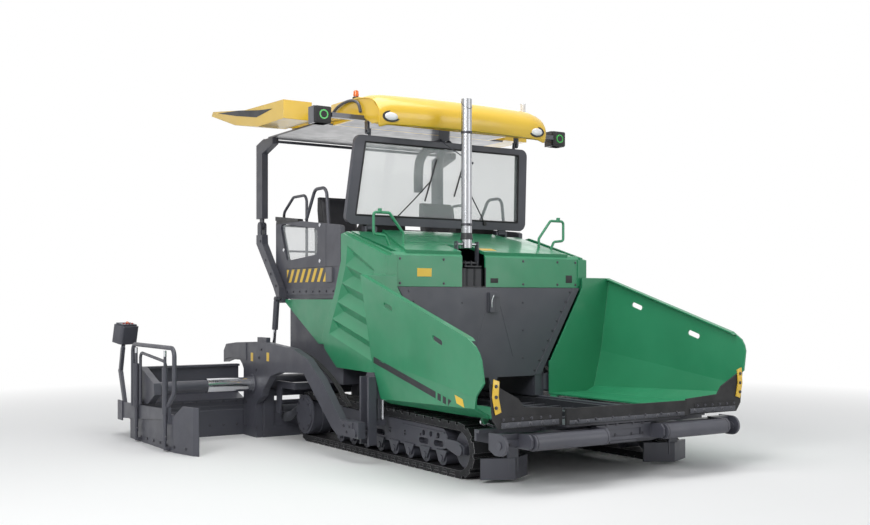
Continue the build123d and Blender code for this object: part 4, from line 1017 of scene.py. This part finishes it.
def makeScreed():
    for name, sign in sides:
        dressGate(name, sign, "extension_" + name)
        dressStation(name, sign, "extension_" + name)
        lines = bmesh.new()
        for k in range(armLines["count"]):
            y = armLines["y"] - armLines["step"] * k
            path = [(x, sign * (y - inset), z) for x, inset, z in armLines["path"]]
            tubeMesh(lines, path, armLines["radius"], 8)
        newPiece("arm_lines_" + name, lines, "rubber", "screed")


# hood: screws, linkage in the exhaust's slot, louvre grille and latch lever
hood = {
    "screwY": (-1.15, -0.62, 0.42, 0.90, 1.16), "screwZ": (1.80, 2.05),
    "linkBase": ((0.700, -0.345, 1.975), (0.775, -0.125, 1.992)),
    "linkRod": ((0.72, -0.330, 2.02), (0.72, -0.140, 2.02)), "linkRadius": 0.014,
    "ears": (-0.310, -0.235, -0.160), "earX": (0.700, 0.745), "earHalf": 0.006, "earZ": (1.985, 2.045),
    "slats": 26, "longSlats": 3, "slatX": -0.10, "slatStep": 0.018, "slatThick": 0.004, "slatFall": 0.0045,
    "slatY": (-0.70, 0.38, -0.24), "slatZ": (2.20, 2.206),  # start, end of the long ones, end of the rest
    "lever": ((0.852, -0.02, 1.68), (0.858, -0.05, 1.62), (0.856, -0.05, 1.55)), "leverRadius": 0.006,
}


def makeHood():
    screws = [(y, z) for y in hood["screwY"] for z in hood["screwZ"]]
    boltPiece("hood_screws", "tractor", ("hood", screws, ahead, fineBolt))
    gear = bmesh.new()
    addBlock(gear, *hood["linkBase"], 0.004)
    addRod(gear, *hood["linkRod"], hood["linkRadius"], sides=16, soft=0.002)
    (x0, x1), (z0, z1), half = hood["earX"], hood["earZ"], hood["earHalf"]
    for y in hood["ears"]:
        addBlock(gear, (x0, y - half, z0), (x1, y + half, z1), 0.003)
    newPiece("slot_linkage", gear, "darkPaint", "tractor")
    mesh = bmesh.new()
    start, longEnd, shortEnd = hood["slatY"]
    for k in range(hood["slats"]):
        x, fall = hood["slatX"] + k * hood["slatStep"], k * hood["slatFall"]
        end = longEnd if k < hood["longSlats"] else shortEnd
        low, high = (z - fall for z in hood["slatZ"])
        addBlock(mesh, (x, start, low), (x + hood["slatThick"], end, high), 0)
    newPiece("louvre_grille", mesh, "darkPaint", "tractor")
    lever = bmesh.new()
    tubeMesh(lever, hood["lever"], hood["leverRadius"], 8)
    newPiece("latch_lever", lever, "chrome", "tractor")


makeSigns()
print("labels and stripes made")
makeFront()
makeHood()
makePipe()
print("front, hood and exhaust dressed")
makeRoof()
makeScreen()
print("roof and window dressed")
makeSeats()
print("seats padded")
makeTracks()
makeScreed()
print("undercarriage and screed dressed")


# stage: floor, world, lamps and camera
stage = {"size": 80.0, "fadeStart": 4.5, "fadeEnd": 11.0, "floorColour": (0.90, 0.90, 0.895),
         "floorRoughness": 0.9, "floorShine": 0.1, "skyColour": (0.93, 0.96, 1.0), "skyStrength": 0.34}
lamps = {
    "overhead": {"place": (0.5, -1.0, 9.5), "aim": (0.0, 0.0, 1.0), "size": 7.0, "power": 520},
    "keySide": {"place": (6.5, -10.0, 6.5), "aim": (0.5, 0.0, 1.4), "size": 4.0, "power": 560},
    "frontFill": {"place": (11.0, 5.0, 4.0), "aim": (1.0, 0.0, 1.2), "size": 5.0, "power": 180},
    "rearFill": {"place": (-10.0, 6.0, 5.0), "aim": (-1.0, 0.0, 1.2), "size": 6.0, "power": 160},
}
view = {"place": (10.169, -6.779, 1.62), "heading": 57.17, "lens": 44.6, "sensor": 36.0, "shiftY": 0.044}


def backdropRays(tree):
    # camera, glossy and transmitted rays see the plain backdrop
    path = addNode(tree, "LightPath")
    total = path.outputs["Is Camera Ray"]
    for ray in ("Is Glossy Ray", "Is Transmission Ray"):
        total = calc(tree, "MAXIMUM", total, path.outputs[ray])[0]
    return total


def mixedOutput(tree, factor, first, second, output):
    mix = addNode(tree, "MixShader")
    for socket, value in zip(mix.inputs, (factor, first, second)):
        tree.links.new(value, socket)
    tree.links.new(mix.outputs["Shader"], tree.nodes[output].inputs["Surface"])


def makeFloor():
    mesh = bpy.data.meshes.new("floor")
    half = stage["size"] / 2
    corners = [(-half, -half, 0), (half, -half, 0), (half, half, 0), (-half, half, 0)]
    mesh.from_pydata(corners, [], [(0, 1, 2, 3)])
    floor = addObject("floor", mesh)
    material, tree, shader = newShader("floorSheet")
    setInputs(shader, Base_Color=(*stage["floorColour"], 1.0), Roughness=stage["floorRoughness"],
              Specular_IOR_Level=stage["floorShine"])
    glow = addNode(tree, "Emission")
    glow.inputs["Strength"].default_value = 1.0
    geometry = addNode(tree, "NewGeometry")
    reach = calc(tree, "LENGTH", geometry.outputs["Position"], kind="VectorMath")["Value"]
    fade = spread(tree, reach, 0.0, 1.0, stage["fadeStart"], stage["fadeEnd"])
    seen = calc(tree, "MULTIPLY", fade, backdropRays(tree))[0]
    mixedOutput(tree, seen, shader.outputs["BSDF"], glow.outputs["Emission"], "Material Output")
    mesh.materials.append(material)


def makeWorld():
    world = bpy.data.worlds.new("studio")
    bpy.context.scene.world = world
    world.use_nodes = True
    tree = world.node_tree
    soft = tree.nodes["Background"]
    setInputs(soft, Color=(*stage["skyColour"], 1.0), Strength=stage["skyStrength"])
    white = addNode(tree, "Background")
    setInputs(white, Color=(1.0, 1.0, 1.0, 1.0), Strength=1.0)
    mixedOutput(tree, backdropRays(tree), soft.outputs["Background"], white.outputs["Background"],
                "World Output")


def makeLamps():
    for name, lamp in lamps.items():
        light = bpy.data.lights.new(name, "AREA")
        light.shape = "SQUARE"
        light.size = lamp["size"]
        light.energy = lamp["power"]
        holder = addObject(name, light)
        holder.location = lamp["place"]
        aim = Vector(lamp["aim"]) - Vector(lamp["place"])
        holder.rotation_euler = aim.to_track_quat("-Z", "Y").to_euler()


def makeCamera():
    camera = addObject("camera", bpy.data.cameras.new("camera"))
    camera.location = view["place"]
    camera.rotation_euler = (math.radians(90), 0, math.radians(view["heading"]))
    camera.data.lens = view["lens"]
    camera.data.sensor_width = view["sensor"]
    camera.data.shift_y = view["shiftY"]
    bpy.context.scene.camera = camera


makeFloor()
makeWorld()
makeLamps()
makeCamera()
bpy.context.scene.view_settings.view_transform = "Standard"
print("stage set")
